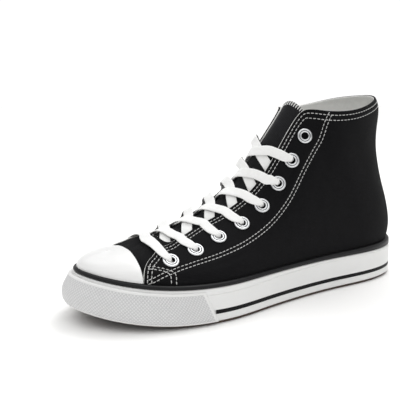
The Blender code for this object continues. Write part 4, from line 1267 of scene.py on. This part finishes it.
def make_sole():
    """Foxing wall with its step and groove, rand, stripe, outsole with lugs, and insole."""
    keys = sole_keys(400)
    low = OUTSOLE_THICKNESS + 0.0001
    groove = [(STRIPE_LEVEL - STRIPE_HEIGHT / 2, 1), (STRIPE_LEVEL + STRIPE_HEIGHT / 2, -1)]
    inner = FOXING_LEAN + FOXING_THICKNESS
    loops = [ring(keys, 0.004, low), ring(keys, 0.0009, low), ring(keys, 0.0003, low + 0.0004),
             ring(keys, wall_inset(0.0036), 0.0036)]
    for level, way in groove:
        first = ring(keys, wall_inset(level), level - way * 0.0001)
        second = ring(keys, wall_inset(level) + 0.0008, level)
        loops += [first, second] if way > 0 else [second, first]
    loops += [ring(keys, wall_inset(0.019) - 0.0001, lambda y: step_line(y) - 0.0009),
              ring(keys, wall_inset(0.021) - 0.0001, lambda y: step_line(y) - 0.00015),
              ring(keys, wall_inset(0.021) + 0.0003, step_line),
              ring(keys, wall_inset(0.022) + 0.00015, lambda y: step_line(y) + 0.00025),
              ring(keys, wall_inset(FOXING_HEIGHT - 0.0010) + 0.00015, FOXING_HEIGHT - 0.0009),
              ring(keys, wall_inset(FOXING_HEIGHT) + 0.00032, FOXING_HEIGHT - 0.0004),
              ring(keys, wall_inset(FOXING_HEIGHT) + 0.0008, FOXING_HEIGHT - 0.0001),
              ring(keys, wall_inset(FOXING_HEIGHT) + 0.0014, FOXING_HEIGHT),
              ring(keys, inner, FOXING_HEIGHT), ring(keys, inner, DECK_HEIGHT)]
    made = rounds("foxing", loops, [FOXING_RUBBER], "midsole", sharp=38)
    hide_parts("midsole")

    outer = wall_inset(FOXING_HEIGHT) + FOXING_THICKNESS - RAND_THICKNESS
    low = FOXING_HEIGHT + 0.0001
    loops = [ring(keys, outer + 0.0005, low), ring(keys, outer, low + 0.0004),
             ring(keys, outer, lambda y: low + (rand_top(y) - low) * 0.5),
             ring(keys, outer + 0.0002, lambda y: rand_top(y) - 0.0009),
             ring(keys, outer + 0.0006, lambda y: rand_top(y) - 0.0003),
             ring(keys, outer + 0.0013, rand_top), ring(keys, inner, rand_top), ring(keys, inner, low)]
    made = rounds("rand_rubber", loops, [BLACK_RUBBER], "rand", lids=False)
    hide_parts("rand")

    low, high = OUTSOLE_THICKNESS + 2 * GAP, FOXING_HEIGHT - BUMPER_LIP
    start, end = bumper_end(-1), bumper_end(1)
    slant = key_shift(BUMPER_SLANT)
    level = (STRIPE_LEVEL - low) / (high - low)
    lean = slant * (0.5 - level) + key_shift(GAP)
    loop = np.sort(keys % 2)
    t = loop[(loop > end + lean) & (loop < 2 + start - lean)]
    half = STRIPE_HEIGHT / 2 - 0.00005
    profile = [(-half, 0.0007), (-half, 0.00005), (-half + 0.0003, -0.0001), (half - 0.0003, -0.0001),
               (half, 0.00005), (half, 0.0007)]
    loops = [ring(t, wall_inset(STRIPE_LEVEL + up) + inset, STRIPE_LEVEL + up) for up, inset in profile]
    points, faces = sweep(np.stack(loops, axis=1))
    made = piece("stripe_rubber", points, faces, [STRIPE_RUBBER])
    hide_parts("side_stripe")

    top = OUTSOLE_THICKNESS
    loops = [ring(keys, 0.0075, LUG_RECESS), ring(keys, 0.0068, 0.0001), ring(keys, 0.0064, 0.0),
             ring(keys, OUTSOLE_TUCK + 0.0010, 0.0), ring(keys, OUTSOLE_TUCK + 0.0003, 0.0003),
             ring(keys, OUTSOLE_TUCK, 0.0009), ring(keys, OUTSOLE_TUCK * 0.6, top - 0.0002),
             ring(keys, OUTSOLE_TUCK * 0.6 + 0.0002, top)]
    made = rounds("outsole_rubber", loops, [GUM_RUBBER], "outsole")
    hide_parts("outsole")
    make_lugs()

    inset = UPPER_INSET + WALL + GAP
    base = DECK_HEIGHT + GAP
    full = INSOLE_THICKNESS
    loops = [ring(keys, inset, base), ring(keys, inset, base + full * 0.5),
             ring(keys, inset + 0.0004, base + full * 0.85), ring(keys, inset + 0.0013, base + full),
             ring(keys, inset + 0.004, base + full), ring(keys, inset + 0.012, base + full * 0.93)]
    made = rounds("insole_cloth", loops, [INSOLE_CLOTH], "insole", uvs=True)
    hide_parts("insole")


def make_lugs():
    """Small rhombic lugs under the sole, in rows, down to the ground."""
    pitch_x, pitch_y = 0.0062, 0.0044
    half_x, half_y = 0.0024, 0.0016
    points, faces = [], []
    keys = sole_keys(400)
    outline, _ = edge(keys, np.full(len(keys), LUG_INSET))
    for row in range(-36, 37):
        y = row * pitch_y
        for column in range(-10, 11):
            x = (column + 0.5 * (row % 2)) * pitch_x
            x1, y1 = outline[:, 0], outline[:, 1]
            x2, y2 = np.roll(x1, -1), np.roll(y1, -1)
            spans = (y1 > y) != (y2 > y)
            meet = x1[spans] + (y - y1[spans]) * (x2 - x1)[spans] / (y2 - y1)[spans]
            if (meet > x).sum() % 2 == 0:
                continue
            base = len(points)
            z = float(lift(y)) if y < 0 else 0.0
            for level, size in ((LUG_RECESS + 0.0004, 1.0), (0.0001, 0.86), (0.0, 0.78)):
                for dx, dy in ((half_x, 0), (0, half_y), (-half_x, 0), (0, -half_y)):
                    points.append((x + dx * size, y + dy * size, z + level))
            faces += tube_faces(3, 4, base)
    piece("tread_lugs", points, faces, [GUM_RUBBER], sharp=30)


def make_bumper():
    """Toe bumper: smooth lip and ends, and a raised pattern of small diamonds between."""
    low, high = OUTSOLE_THICKNESS + 0.0003, FOXING_HEIGHT - BUMPER_LIP
    start, end = bumper_end(-1), bumper_end(1)
    slant = key_shift(BUMPER_SLANT)
    t = np.sin(np.linspace(-1, 1, 561) * math.pi / 2 * 0.92) / math.sin(math.pi / 2 * 0.92)
    t = 0.75 * np.linspace(-1, 1, 561) + 0.25 * t
    heights, bulges = np.array(BUMPER_PROFILE).T
    share = np.concatenate([[0, 0.015, 0.04], np.linspace(0.07, 0.93, 52), [0.955, 0.975, 0.99, 1.0]])
    bulge = np.interp(share, heights, bulges)
    for _ in range(4):
        bulge[1:-1] = (bulge[:-2] + 2 * bulge[1:-1] + bulge[2:]) / 4
    bulge *= 1 - BUMPER_SHOULDER * smooth_step(share, 0.25, 1.05) ** 1.4
    tip = np.sqrt(np.clip(1 - np.clip((np.abs(t) - 0.985) / 0.015, 0, 1) ** 2, 0, 1))
    middle = np.cos(t * math.pi / 2)
    thickness = (BUMPER_EDGE + (BUMPER_BULGE - BUMPER_EDGE) * middle ** 1.2) * (0.12 + 0.88 * tip)
    blend = smooth_step(np.abs(t), 0.55, 1.0)

    def keys_at(level):
        lean = slant * (0.5 - level)
        plain = np.where(t < 0, -t * start, t * end)
        return plain + np.sign(t) * lean * blend

    columns = []
    for level, out in zip(share, bulge):
        height = low + level * (high - low)
        columns.append(ring(keys_at(level), wall_inset(height) - thickness * out, height))
    plain = np.stack(columns, axis=1)
    along = travelled(plain[:, 30])
    along -= along[-1] / 2
    rising = travelled(plain[280])
    u, v = np.meshgrid(along, rising, indexing="ij")
    pitch = DIAMOND_PITCH * math.sqrt(2)
    a = np.abs(((u + v) / pitch) % 1 - 0.5) * 2
    b = np.abs(((u - v) / pitch) % 1 - 0.5) * 2
    relief = DIAMOND_DEPTH * (np.minimum(a, b) ** 0.7 - 0.55)
    top_edge = rising[-1] - LIP_WIDTH
    mask = smooth_step(v, 0.0006, 0.0014) * (1 - smooth_step(v, top_edge - 0.0005, top_edge + 0.0003))
    last = along[-1] - BUMPER_PLAIN_END
    mask *= 1 - smooth_step(np.abs(u), last - 0.0004, last + 0.0004)
    lip = LIP_RISE * smooth_step(v, top_edge - 0.0002, top_edge + 0.0006)
    lip = lip * np.cos(np.clip(t, -1, 1) * math.pi / 2)[:, None] ** 0.3
    for k in range(len(share)):
        _, normal = edge(keys_at(share[k]), np.zeros(len(t)))
        plain[:, k, :2] += normal * (relief * mask + lip)[:, k, None]
    backs = [ring(keys_at(level), wall_inset(low + level * (high - low)) + 0.0002, low + level * (high - low))
             for level in (1.0, 0.0)]
    profiles = np.concatenate([plain, np.stack(backs, axis=1)], axis=1)
    points, faces = sweep(profiles)
    rim = profiles.shape[1]
    kinds = np.ones(len(faces), int)
    kinds[:(len(t) - 1) * rim].reshape(-1, rim)[:, :len(share)] = mask[:-1] < 0.5
    uvs = np.zeros((len(t), rim, 2))
    uvs[:, :len(share)] = np.stack([u, v], axis=-1)
    made = piece("bumper_rubber", points, faces, [BUMPER_RUBBER, FOXING_RUBBER],
                 uvs.reshape(-1, 2), kinds, sharp=60)
    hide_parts("toe_bumper")


# Eyelet's turned profile, from the mouth of its barrel over its two rings and back inside
EYELET_PROFILE = (
    # radius, height
    (0.00275, -0.00230),
    (0.00275, 0.00020),
    (0.00288, 0.00062),
    (0.00322, 0.00086),
    (0.00362, 0.00082),
    (0.00392, 0.00052),
    (0.00402, 0.00018),
    (0.00424, 0.00018),
    (0.00434, 0.00046),
    (0.00468, 0.00074),
    (0.00515, 0.00076),
    (0.00556, 0.00052),
    (0.00578, 0.00018),
    (0.00575, -0.00004),
    (0.00530, 0.00002),
    (0.00310, 0.00002),
    (0.00310, -0.00205),
    (0.00400, -0.00208),
    (0.00405, -0.00232),
)
# Radii between which the eyelet is painted dark as painted shade: its barrel, and the groove between its two
# rings
EYELET_PAINTED_SHADE_RADII = ((0.0, 0.00280), (0.00394, 0.00432))


def eyelet_spots(side):
    """Centre on the canvas and outward normal of each eyelet of a side."""
    spots = []
    for place, normal in eyelet_places(side):
        key, up = settled(np.array([place]), np.array([0.4 * side]), np.array([0.8]), 40)
        spots.append((np.array(place) + normal * (fold(key, up)[0] + 0.0002), np.array(normal)))
    return spots


def make_eyelets():
    """Metal eyelets with two rings, spun from their profile and set down both sides."""
    for side, label, stem in ((1, "outer", "eyelet_left"), (-1, "inner", "eyelet_right")):
        bpy.ops.object.select_all(action="DESELECT")
        mesh = bpy.data.meshes.new("eyelet_profile")
        count = len(EYELET_PROFILE)
        mesh.from_pydata([(r, 0, z) for r, z in EYELET_PROFILE],
                         [(i, (i + 1) % count) for i in range(count)], [])
        one = bpy.data.objects.new("eyelet_profile", mesh)
        bpy.context.scene.collection.objects.link(one)
        bpy.context.view_layer.objects.active = one
        one.select_set(True)
        bpy.ops.object.mode_set(mode="EDIT")
        bpy.ops.mesh.select_all(action="SELECT")
        bpy.ops.mesh.spin(steps=36, angle=2 * math.pi, center=(0, 0, 0), axis=(0, 0, 1))
        bpy.ops.mesh.select_all(action="SELECT")
        bpy.ops.mesh.remove_doubles(threshold=0.00001)
        bpy.ops.object.mode_set(mode="OBJECT")
        # The spin gives its points and faces in any order: sorted, they are the same each run
        shape = np.array([v.co for v in one.data.vertices])
        order = np.lexsort(shape.T)
        shape = shape[order]
        number = np.argsort(order).tolist()
        loops = sorted(tuple(number[i] for i in face.vertices) for face in one.data.polygons)
        bpy.data.objects.remove(one)
        radius = np.array([np.hypot(*shape[list(face), :2].T).mean() for face in loops])
        # Faces in the barrel and in the groove between the rings take the painted shade finish
        dark = sum((low < radius) & (radius < high) & (shape[:, 2].max() > 0) for low, high in EYELET_PAINTED_SHADE_RADII)
        points, faces = [], []
        for place, normal in EYELET_SPOTS[side]:
            turn = np.array(Vector(normal).to_track_quat("Z", "Y").to_matrix())
            shift = len(points) * len(shape)
            points.append(shape @ turn.T + place)
            faces += [tuple(shift + i for i in face) for face in loops]
        made = piece(f"eyelets_{label}", np.concatenate(points), faces,
                     [EYELET_METAL_FINISH, EYELET_PAINTED_SHADE_FINISH], None,
                     np.tile(dark.astype(int), EYELETS), sharp=60)
        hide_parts(*[f"{stem}_{i + 1}" for i in range(EYELETS)])


def cut_eyelet_holes(pieces):
    """Drills the holes of the eyelets through the canvas and the lining."""
    for side in (1, -1):
        points, faces = [], []
        corners = np.arange(DRILL_SIDES) * 2 * math.pi / DRILL_SIDES
        rim = np.c_[np.cos(corners), np.sin(corners), np.zeros(DRILL_SIDES)] * EYELET_DRILL
        for place, normal in EYELET_SPOTS[side]:
            turn = np.array(Vector(normal).to_track_quat("Z", "Y").to_matrix())
            shift = len(points) * 2 * DRILL_SIDES
            far = shift + DRILL_SIDES
            both = np.concatenate([rim + (0, 0, 0.004), rim - (0, 0, 0.005)])
            points.append(both @ turn.T + place + SHIFT)
            faces += [tuple(range(shift, far)), tuple(range(far + DRILL_SIDES - 1, far - 1, -1))]
            for i in range(DRILL_SIDES):
                j = (i + 1) % DRILL_SIDES
                faces.append((shift + j, shift + i, far + i, far + j))
        mesh = bpy.data.meshes.new("drills")
        mesh.from_pydata(np.concatenate(points).tolist(), [], faces)
        drills = bpy.data.objects.new("drills", mesh)
        bpy.context.scene.collection.objects.link(drills)
        for made, sides in pieces:
            if side not in sides:
                continue
            cut = made.modifiers.new("holes", "BOOLEAN")
            cut.operation = "DIFFERENCE"
            cut.solver = "EXACT"
            cut.object = drills
            bpy.ops.object.select_all(action="DESELECT")
            bpy.context.view_layer.objects.active = made
            made.select_set(True)
            bpy.ops.object.modifier_apply(modifier="holes")
        bpy.data.objects.remove(drills)


# Stations of a lace strap. outer and inner: share of the way from one eyelet to the next on a
# strap that ends on that side, and its height there. from: what the distance is measured from,
# -1 the eyelet that it leaves, 0 the throat's edge on the side it leaves, 1 the middle line in
# half widths of the throat, 2 the throat's edge that it reaches, 3 the eyelet that it enters.
STRAP = (
    # outer, its height, inner, its height, from, distance, width, thickness
    (0.00, -0.0006, 0.00, -0.0006, -1, 0.0000, 0.0040, 0.0017),
    (0.00, -0.0021, 0.00, -0.0021, -1, 0.0004, 0.0042, 0.0014),
    (0.00, -0.0027, 0.00, -0.0027, -1, 0.0024, 0.0052, 0.0009),
    (-0.04, -0.0026, -0.02, -0.0026, -1, 0.0075, 0.0074, 0.0007),
    (-0.10, -0.0025, -0.07, -0.0025, 0, -0.0018, 0.0078, 0.0008),
    (-0.11, -0.0010, -0.04, -0.0012, 0, 0.0032, 0.0078, 0.0010),
    (-0.09, 0.0004, 0.02, -0.0006, 1, -0.45, 0.0078, 0.0011),
    (0.00, 0.0014, 0.20, 0.0000, 1, 0.0, 0.0078, 0.0011),
    (0.17, 0.0014, 0.38, 0.0007, 1, 0.3, 0.0078, 0.0011),
    (0.37, 0.0011, 0.60, 0.0033, 1, 0.62, 0.0078, 0.0011),
    (0.57, 0.0009, 0.84, 0.0044, 2, 0.0, 0.0078, 0.0011),
    (0.69, 0.0009, 0.95, 0.0040, 2, 0.0055, 0.0078, 0.0011),
    (0.78, 0.0010, 1.00, 0.0028, 3, -0.0080, 0.0076, 0.0011),
    (0.84, 0.0012, 1.00, 0.0018, 3, -0.0058, 0.0070, 0.0012),
    (0.91, 0.0014, 1.00, 0.0015, 3, -0.0036, 0.0060, 0.0013),
    (0.98, 0.0010, 1.00, 0.0010, 3, -0.0016, 0.0048, 0.0016),
    (1.00, 0.0000, 1.00, 0.0000, 3, -0.0004, 0.0040, 0.0018),
)
# How much further up the way the straps lie for each level over the fourth, by what they are
# measured from
LEVEL_SHIFT = {0: 0.055, 1: 0.055, 2: 0.025}


def strap_stations(level, side):
    """Stations of the strap from one eyelet to the next on the other side: rib key, distance
    towards that side, height, width and thickness."""
    low, high = EYELET_KEYS[level], EYELET_KEYS[level + 1]
    rows = []
    for outer, outer_height, inner, inner_height, start, distance, width, thickness in STRAP:
        share, height = (outer, outer_height) if side > 0 else (inner, inner_height)
        share += LEVEL_SHIFT.get(start, 0.0) * (min(max(level, 1), 5) - 3)
        key = low + (high - low) * share
        throat = section(key)[2]
        zero = {-1: -section(low)[2] - EYELET_INSETS[level], 0: -throat, 1: 0.0, 2: throat,
                3: section(high)[2] + EYELET_INSETS[level + 1]}[start]
        far = side * (zero + distance * (throat if start == 1 else 1.0))
        rows.append((key, far, height, width, thickness))
    return rows


# Stations of the lace's bar over the vamp, from the inner eyelet to the outer one
BAR = tuple((side * share, *rest) for side, rows in ((-1, range(8)), (1, range(6, -1, -1)))
            for share, *rest in [(
                # share of the way from the middle, height, width, thickness
                (0.99, 0.0000, 0.0040, 0.0018),
                (0.955, 0.0011, 0.0047, 0.0016),
                (0.89, 0.0014, 0.0058, 0.0014),
                (0.81, 0.0012, 0.0072, 0.0012),
                (0.66, 0.0009, 0.0078, 0.0011),
                (0.44, 0.0008, 0.0078, 0.0011),
                (0.22, 0.0008, 0.0078, 0.0011),
                (0.00, 0.0008, 0.0078, 0.0011),
            )[row] for row in rows])


def make_lace():
    """One flat lace: a bar over the first pair of eyelets, then crossings up to the seventh."""
    half = section(EYELET_KEYS[0])[2] + EYELET_INSETS[0]
    bar = []
    for share, height, width, thickness in BAR:
        bend = BAR_BEND_OUTER if share > 0 else BAR_BEND_INNER
        key = BAR_KEY + (EYELET_KEYS[0] - BAR_KEY) * abs(share) ** bend
        bar.append((key, half * share, height, width, thickness))
    paths = {}
    for first in (1, -1):
        side = first
        rows = []
        for level in range(EYELETS - 2):
            side = -side
            rows += strap_stations(level, side)
        last = EYELET_KEYS[EYELETS - 2]
        end = side * (section(last)[2] + EYELET_INSETS[EYELETS - 2])
        rows += [(last, end, -0.0021, 0.0042, 0.0014), (last, end - side * 0.0024, -0.0027, 0.0052, 0.0009),
                 (last, end - side * 0.008, -0.0026, 0.0070, 0.0007)]
        paths[first] = rows
    rows = np.array(paths[-1][::-1] + bar + paths[1])
    scale = np.array([0.33, 1, 1, 1, 1])
    fine = smoothed(rows * scale, 2400) / scale
    place, normal = [], []
    for key, far, out in fine[:, :3]:
        point, way = across(key, far, out)
        place.append(point[0])
        normal.append(way[0])
    place, normal = np.array(place), np.array(normal)
    flat = place - normal * fine[:, 2:3]
    line = evened(np.c_[place, normal, flat, fine[:, 3:]], 1150)
    place, normal, flat, size = line[:, :3], line[:, 3:6], line[:, 6:9], line[:, 9:]
    travel = np.gradient(flat, axis=0)
    wide = np.cross(travel, normal)
    wide /= np.maximum(np.linalg.norm(wide, axis=1), 1e-9)[:, None]
    weight = np.linalg.norm(travel, axis=1)
    for i in range(1, len(wide)):
        if wide[i] @ wide[i - 1] < 0:
            wide[i] = -wide[i]
    for _ in range(8):
        moved = wide * weight[:, None] + 1e-9
        wide = unit(0.5 * moved + 0.25 * (np.roll(moved, 1, axis=0) + np.roll(moved, -1, axis=0)))
    tangent = unit(np.gradient(place, axis=0))
    wide = unit(wide - tangent * (wide * tangent).sum(axis=1)[:, None])
    thick = np.cross(wide, tangent)
    angles = (np.arange(16) + 0.5) * math.pi / 8
    c, s = np.cos(angles), np.sin(angles)
    wave = np.sign(c) * np.abs(c) ** 0.62
    rise = np.sign(s) * np.abs(s) ** 0.75 * (1 - 0.16 * np.exp(-(wave / 0.35) ** 2))
    profiles = (place[:, None] + wide[:, None] * (wave[None, :, None] * size[:, None, :1] / 2)
                + thick[:, None] * (rise[None, :, None] * size[:, None, 1:] / 2))
    points, faces = sweep(profiles)
    along = travelled(place)
    uvs = np.stack([np.broadcast_to(along[:, None], profiles.shape[:2]),
                    np.broadcast_to(wave * LACE_WIDTH / 2, profiles.shape[:2])], axis=-1).reshape(-1, 2)
    made = piece("lace", points, faces, [LACE_COTTON], uvs, sharp=80)
    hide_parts("lace_bar", *[f"lace_cross_{i + 1}" for i in range(EYELETS - 2)])


def dashes(lines, length, pitch, radius, sink):
    """Joined stitches along lines of points with normals: small capsules, ends tucked in."""
    points, faces = [], []
    spots = np.array([-0.5, -0.42, -0.2, 0.2, 0.42, 0.5])
    girth = np.array([0.25, 0.8, 1.0, 1.0, 0.8, 0.25])
    depth = np.array([-1.0, -0.35, 0.25, 0.25, -0.35, -1.0])
    angles = np.arange(6) * math.pi / 3
    for place, normal in lines:
        far = travelled(place)
        for middle in np.arange(pitch * 0.6, far[-1] - length * 0.5, pitch):
            at = middle + spots * length
            p = np.stack([np.interp(at, far, place[:, i]) for i in range(3)], axis=-1)
            n = np.stack([np.interp(at, far, normal[:, i]) for i in range(3)], axis=-1)
            n = unit(n)
            wide = unit(np.cross(unit(np.gradient(p, axis=0)), n))
            p = p + n * (depth * sink)[:, None]
            girths = (girth * radius)[:, None, None]
            rings = (p[:, None] + wide[:, None] * (np.cos(angles)[None, :, None] * girths)
                     + n[:, None] * (np.sin(angles)[None, :, None] * girths * 0.75))
            faces += tube_faces(6, 6, len(points) * 36)
            points.append(rings.reshape(-1, 3))
    return np.concatenate(points), faces


def make_stitches():
    """Rows of light stitches on both quarters and up the heel strip."""
    for side, label in ((1, "outer"), (-1, "inner")):
        lines = []
        for number, (keys, ups) in enumerate(ROWS[side]):
            out = 0.00055 if number >= 6 else 0.00002
            line = evened(np.c_[cloth(keys, ups, out), facing(keys, ups)], 400)
            lines.append((line[:, :3], line[:, 3:]))
        points, faces = dashes(lines, STITCH_LENGTH, STITCH_PITCH, THREAD / 2, 0.00022)
        piece(f"stitches_{label}", points, faces, [SEAM_THREAD], sharp=70)


def make_overlock(front, back, rising):
    """Oversewn black and white threads along the tongue's top edge."""
    count = OVERLOCK_TURNS
    both = evened(np.c_[front, back, unit(rising)], count)
    angles = np.arange(6) * math.pi / 3
    for colour, finish, first in (("black", BLACK_THREAD, 0), ("white", WHITE_THREAD, 1)):
        points, faces = [], []
        for i in range(1 + first, count - 1, 2):
            a, b, up = both[i, :3], both[i, 3:6], both[i, 6:]
            along = both[i + 1, :3] - both[i - 1, :3]
            along /= np.linalg.norm(along)
            half = (a - b) / 2
            centre = (a + b) / 2
            base = len(points) * 6
            turn = np.linspace(-0.35 * math.pi, 1.35 * math.pi, 12)
            path = np.array([centre + half * 1.22 * math.cos(t) + along * 0.0007 * (t / math.pi - 0.5)
                             + up * (0.00065 * math.sin(t) - 0.0006 * (math.sin(t) < 0)) for t in turn])
            path[0] -= up * (0.0009 + 0.0008 * first)
            path[-1] -= up * (0.0009 + 0.0008 * first)
            way = unit(np.gradient(path, axis=0))
            for p, s, w in zip(path, unit(np.cross(way, along)), way):
                rim = np.cos(angles)[:, None] * s * 0.55 + np.sin(angles)[:, None] * np.cross(w, s)
                points.append(p + rim * OVERLOCK_THREAD)
            faces += tube_faces(len(turn), 6, base)
        piece(f"overlock_{colour}", np.concatenate(points), faces, [finish], sharp=80)


ROWS = {side: stitch_rows(side) for side in (1, -1)}
EYELET_KEYS = eyelet_keys()
EYELET_SPOTS = {side: eyelet_spots(side) for side in (1, -1)}
quarters = {side: make_quarter(side) for side in (1, -1)}
vamp = make_vamp()
make_heel_strip()
tongue_front, tongue_back, tongue_way = make_tongue()
make_overlock(tongue_front, tongue_back, tongue_way)
make_toe_cap()
make_sole()
make_bumper()
make_eyelets()
cut_eyelet_holes([(quarters[1], (1,)), (quarters[-1], (-1,)), (vamp, (1, -1))])
make_lace()
make_stitches()


def make_floor():
    """Pale seamless floor."""
    bpy.ops.object.select_all(action="DESELECT")
    bpy.ops.mesh.primitive_plane_add(size=6.0, location=(0, 0, 0))
    floor = bpy.context.object
    floor.name = "floor"
    made, tree, main = shader("pale studio paper", {"Roughness": 0.9, "Specular IOR Level": 0.1})
    place = add(tree, "ShaderNodeTexCoord").outputs["Object"]
    cloud = add(tree, "ShaderNodeTexNoise", {"Vector": place, "Scale": 3.0, "Detail": 3.0}).outputs["Fac"]
    shade = add(tree, "ShaderNodeMix", {"Factor": cloud, "A": hexed("#faf9f8"), "B": hexed("#fefefd")},
                data_type="RGBA")
    tree.links.new(shade.outputs["Result"], main.inputs["Base Color"])
    floor.data.materials.append(made)


def make_light():
    """Soft white surroundings, darker at the sides, and one broad light over the heel."""
    world = bpy.data.worlds.new("white studio")
    bpy.context.scene.world = world
    world.use_nodes = True
    tree = world.node_tree
    back = tree.nodes["Background"]
    back.inputs["Strength"].default_value = SKY_TOP
    way = add(tree, "ShaderNodeTexCoord").outputs["Generated"]
    height = add(tree, "ShaderNodeSeparateXYZ", {"Vector": way}).outputs["Z"]
    glow = add(tree, "ShaderNodeValToRGB", {"Fac": height})
    stops = glow.color_ramp.elements
    stops[0].position, stops[0].color = 0.13, [SKY_HORIZON / SKY_TOP] * 3 + [1.0]
    stops[1].position, stops[1].color = 0.24, [SKY_SIDE / SKY_TOP] * 3 + [1.0]
    for position, level in ((0.50, SKY_SIDE / SKY_TOP), (0.66, 1.0)):
        stop = stops.new(position)
        stop.color = [level] * 3 + [1.0]
    tree.links.new(glow.outputs["Color"], back.inputs["Color"])
    data = bpy.data.lights.new("key", "AREA")
    data.size = LAMP_SIZE
    data.energy = LAMP_POWER
    lamp = bpy.data.objects.new("key", data)
    bpy.context.scene.collection.objects.link(lamp)
    lamp.location = LAMP_PLACE
    lamp.rotation_euler = (Vector(LAMP_TARGET) - Vector(LAMP_PLACE)).to_track_quat("-Z", "Y").to_euler()


def make_camera():
    """Camera at the photograph's angle: from the outer side of the toe, a little above."""
    azimuth, elevation, roll = (math.radians(v) for v in CAMERA_TURN)
    back = np.array([math.sin(azimuth) * math.cos(elevation), -math.cos(azimuth) * math.cos(elevation),
                     math.sin(elevation)])
    right = np.array([math.cos(azimuth), math.sin(azimuth), 0.0])
    up = np.cross(back, right)
    right, up = right * math.cos(roll) + up * math.sin(roll), up * math.cos(roll) - right * math.sin(roll)
    place = np.array(CAMERA_TARGET) + CAMERA_RIGHT * right + CAMERA_UP * up + CAMERA_BACK * back + SHIFT
    data = bpy.data.cameras.new("camera")
    data.sensor_width = 36.0
    data.lens = CAMERA_LENS
    data.clip_start = 0.01
    camera = bpy.data.objects.new("camera", data)
    bpy.context.scene.collection.objects.link(camera)
    columns = np.c_[right, up, back, place]
    camera.matrix_world = Matrix([list(row) for row in columns] + [[0, 0, 0, 1]])
    bpy.context.scene.camera = camera


make_floor()
make_light()
make_camera()
bpy.context.scene.view_settings.view_transform = "Standard"
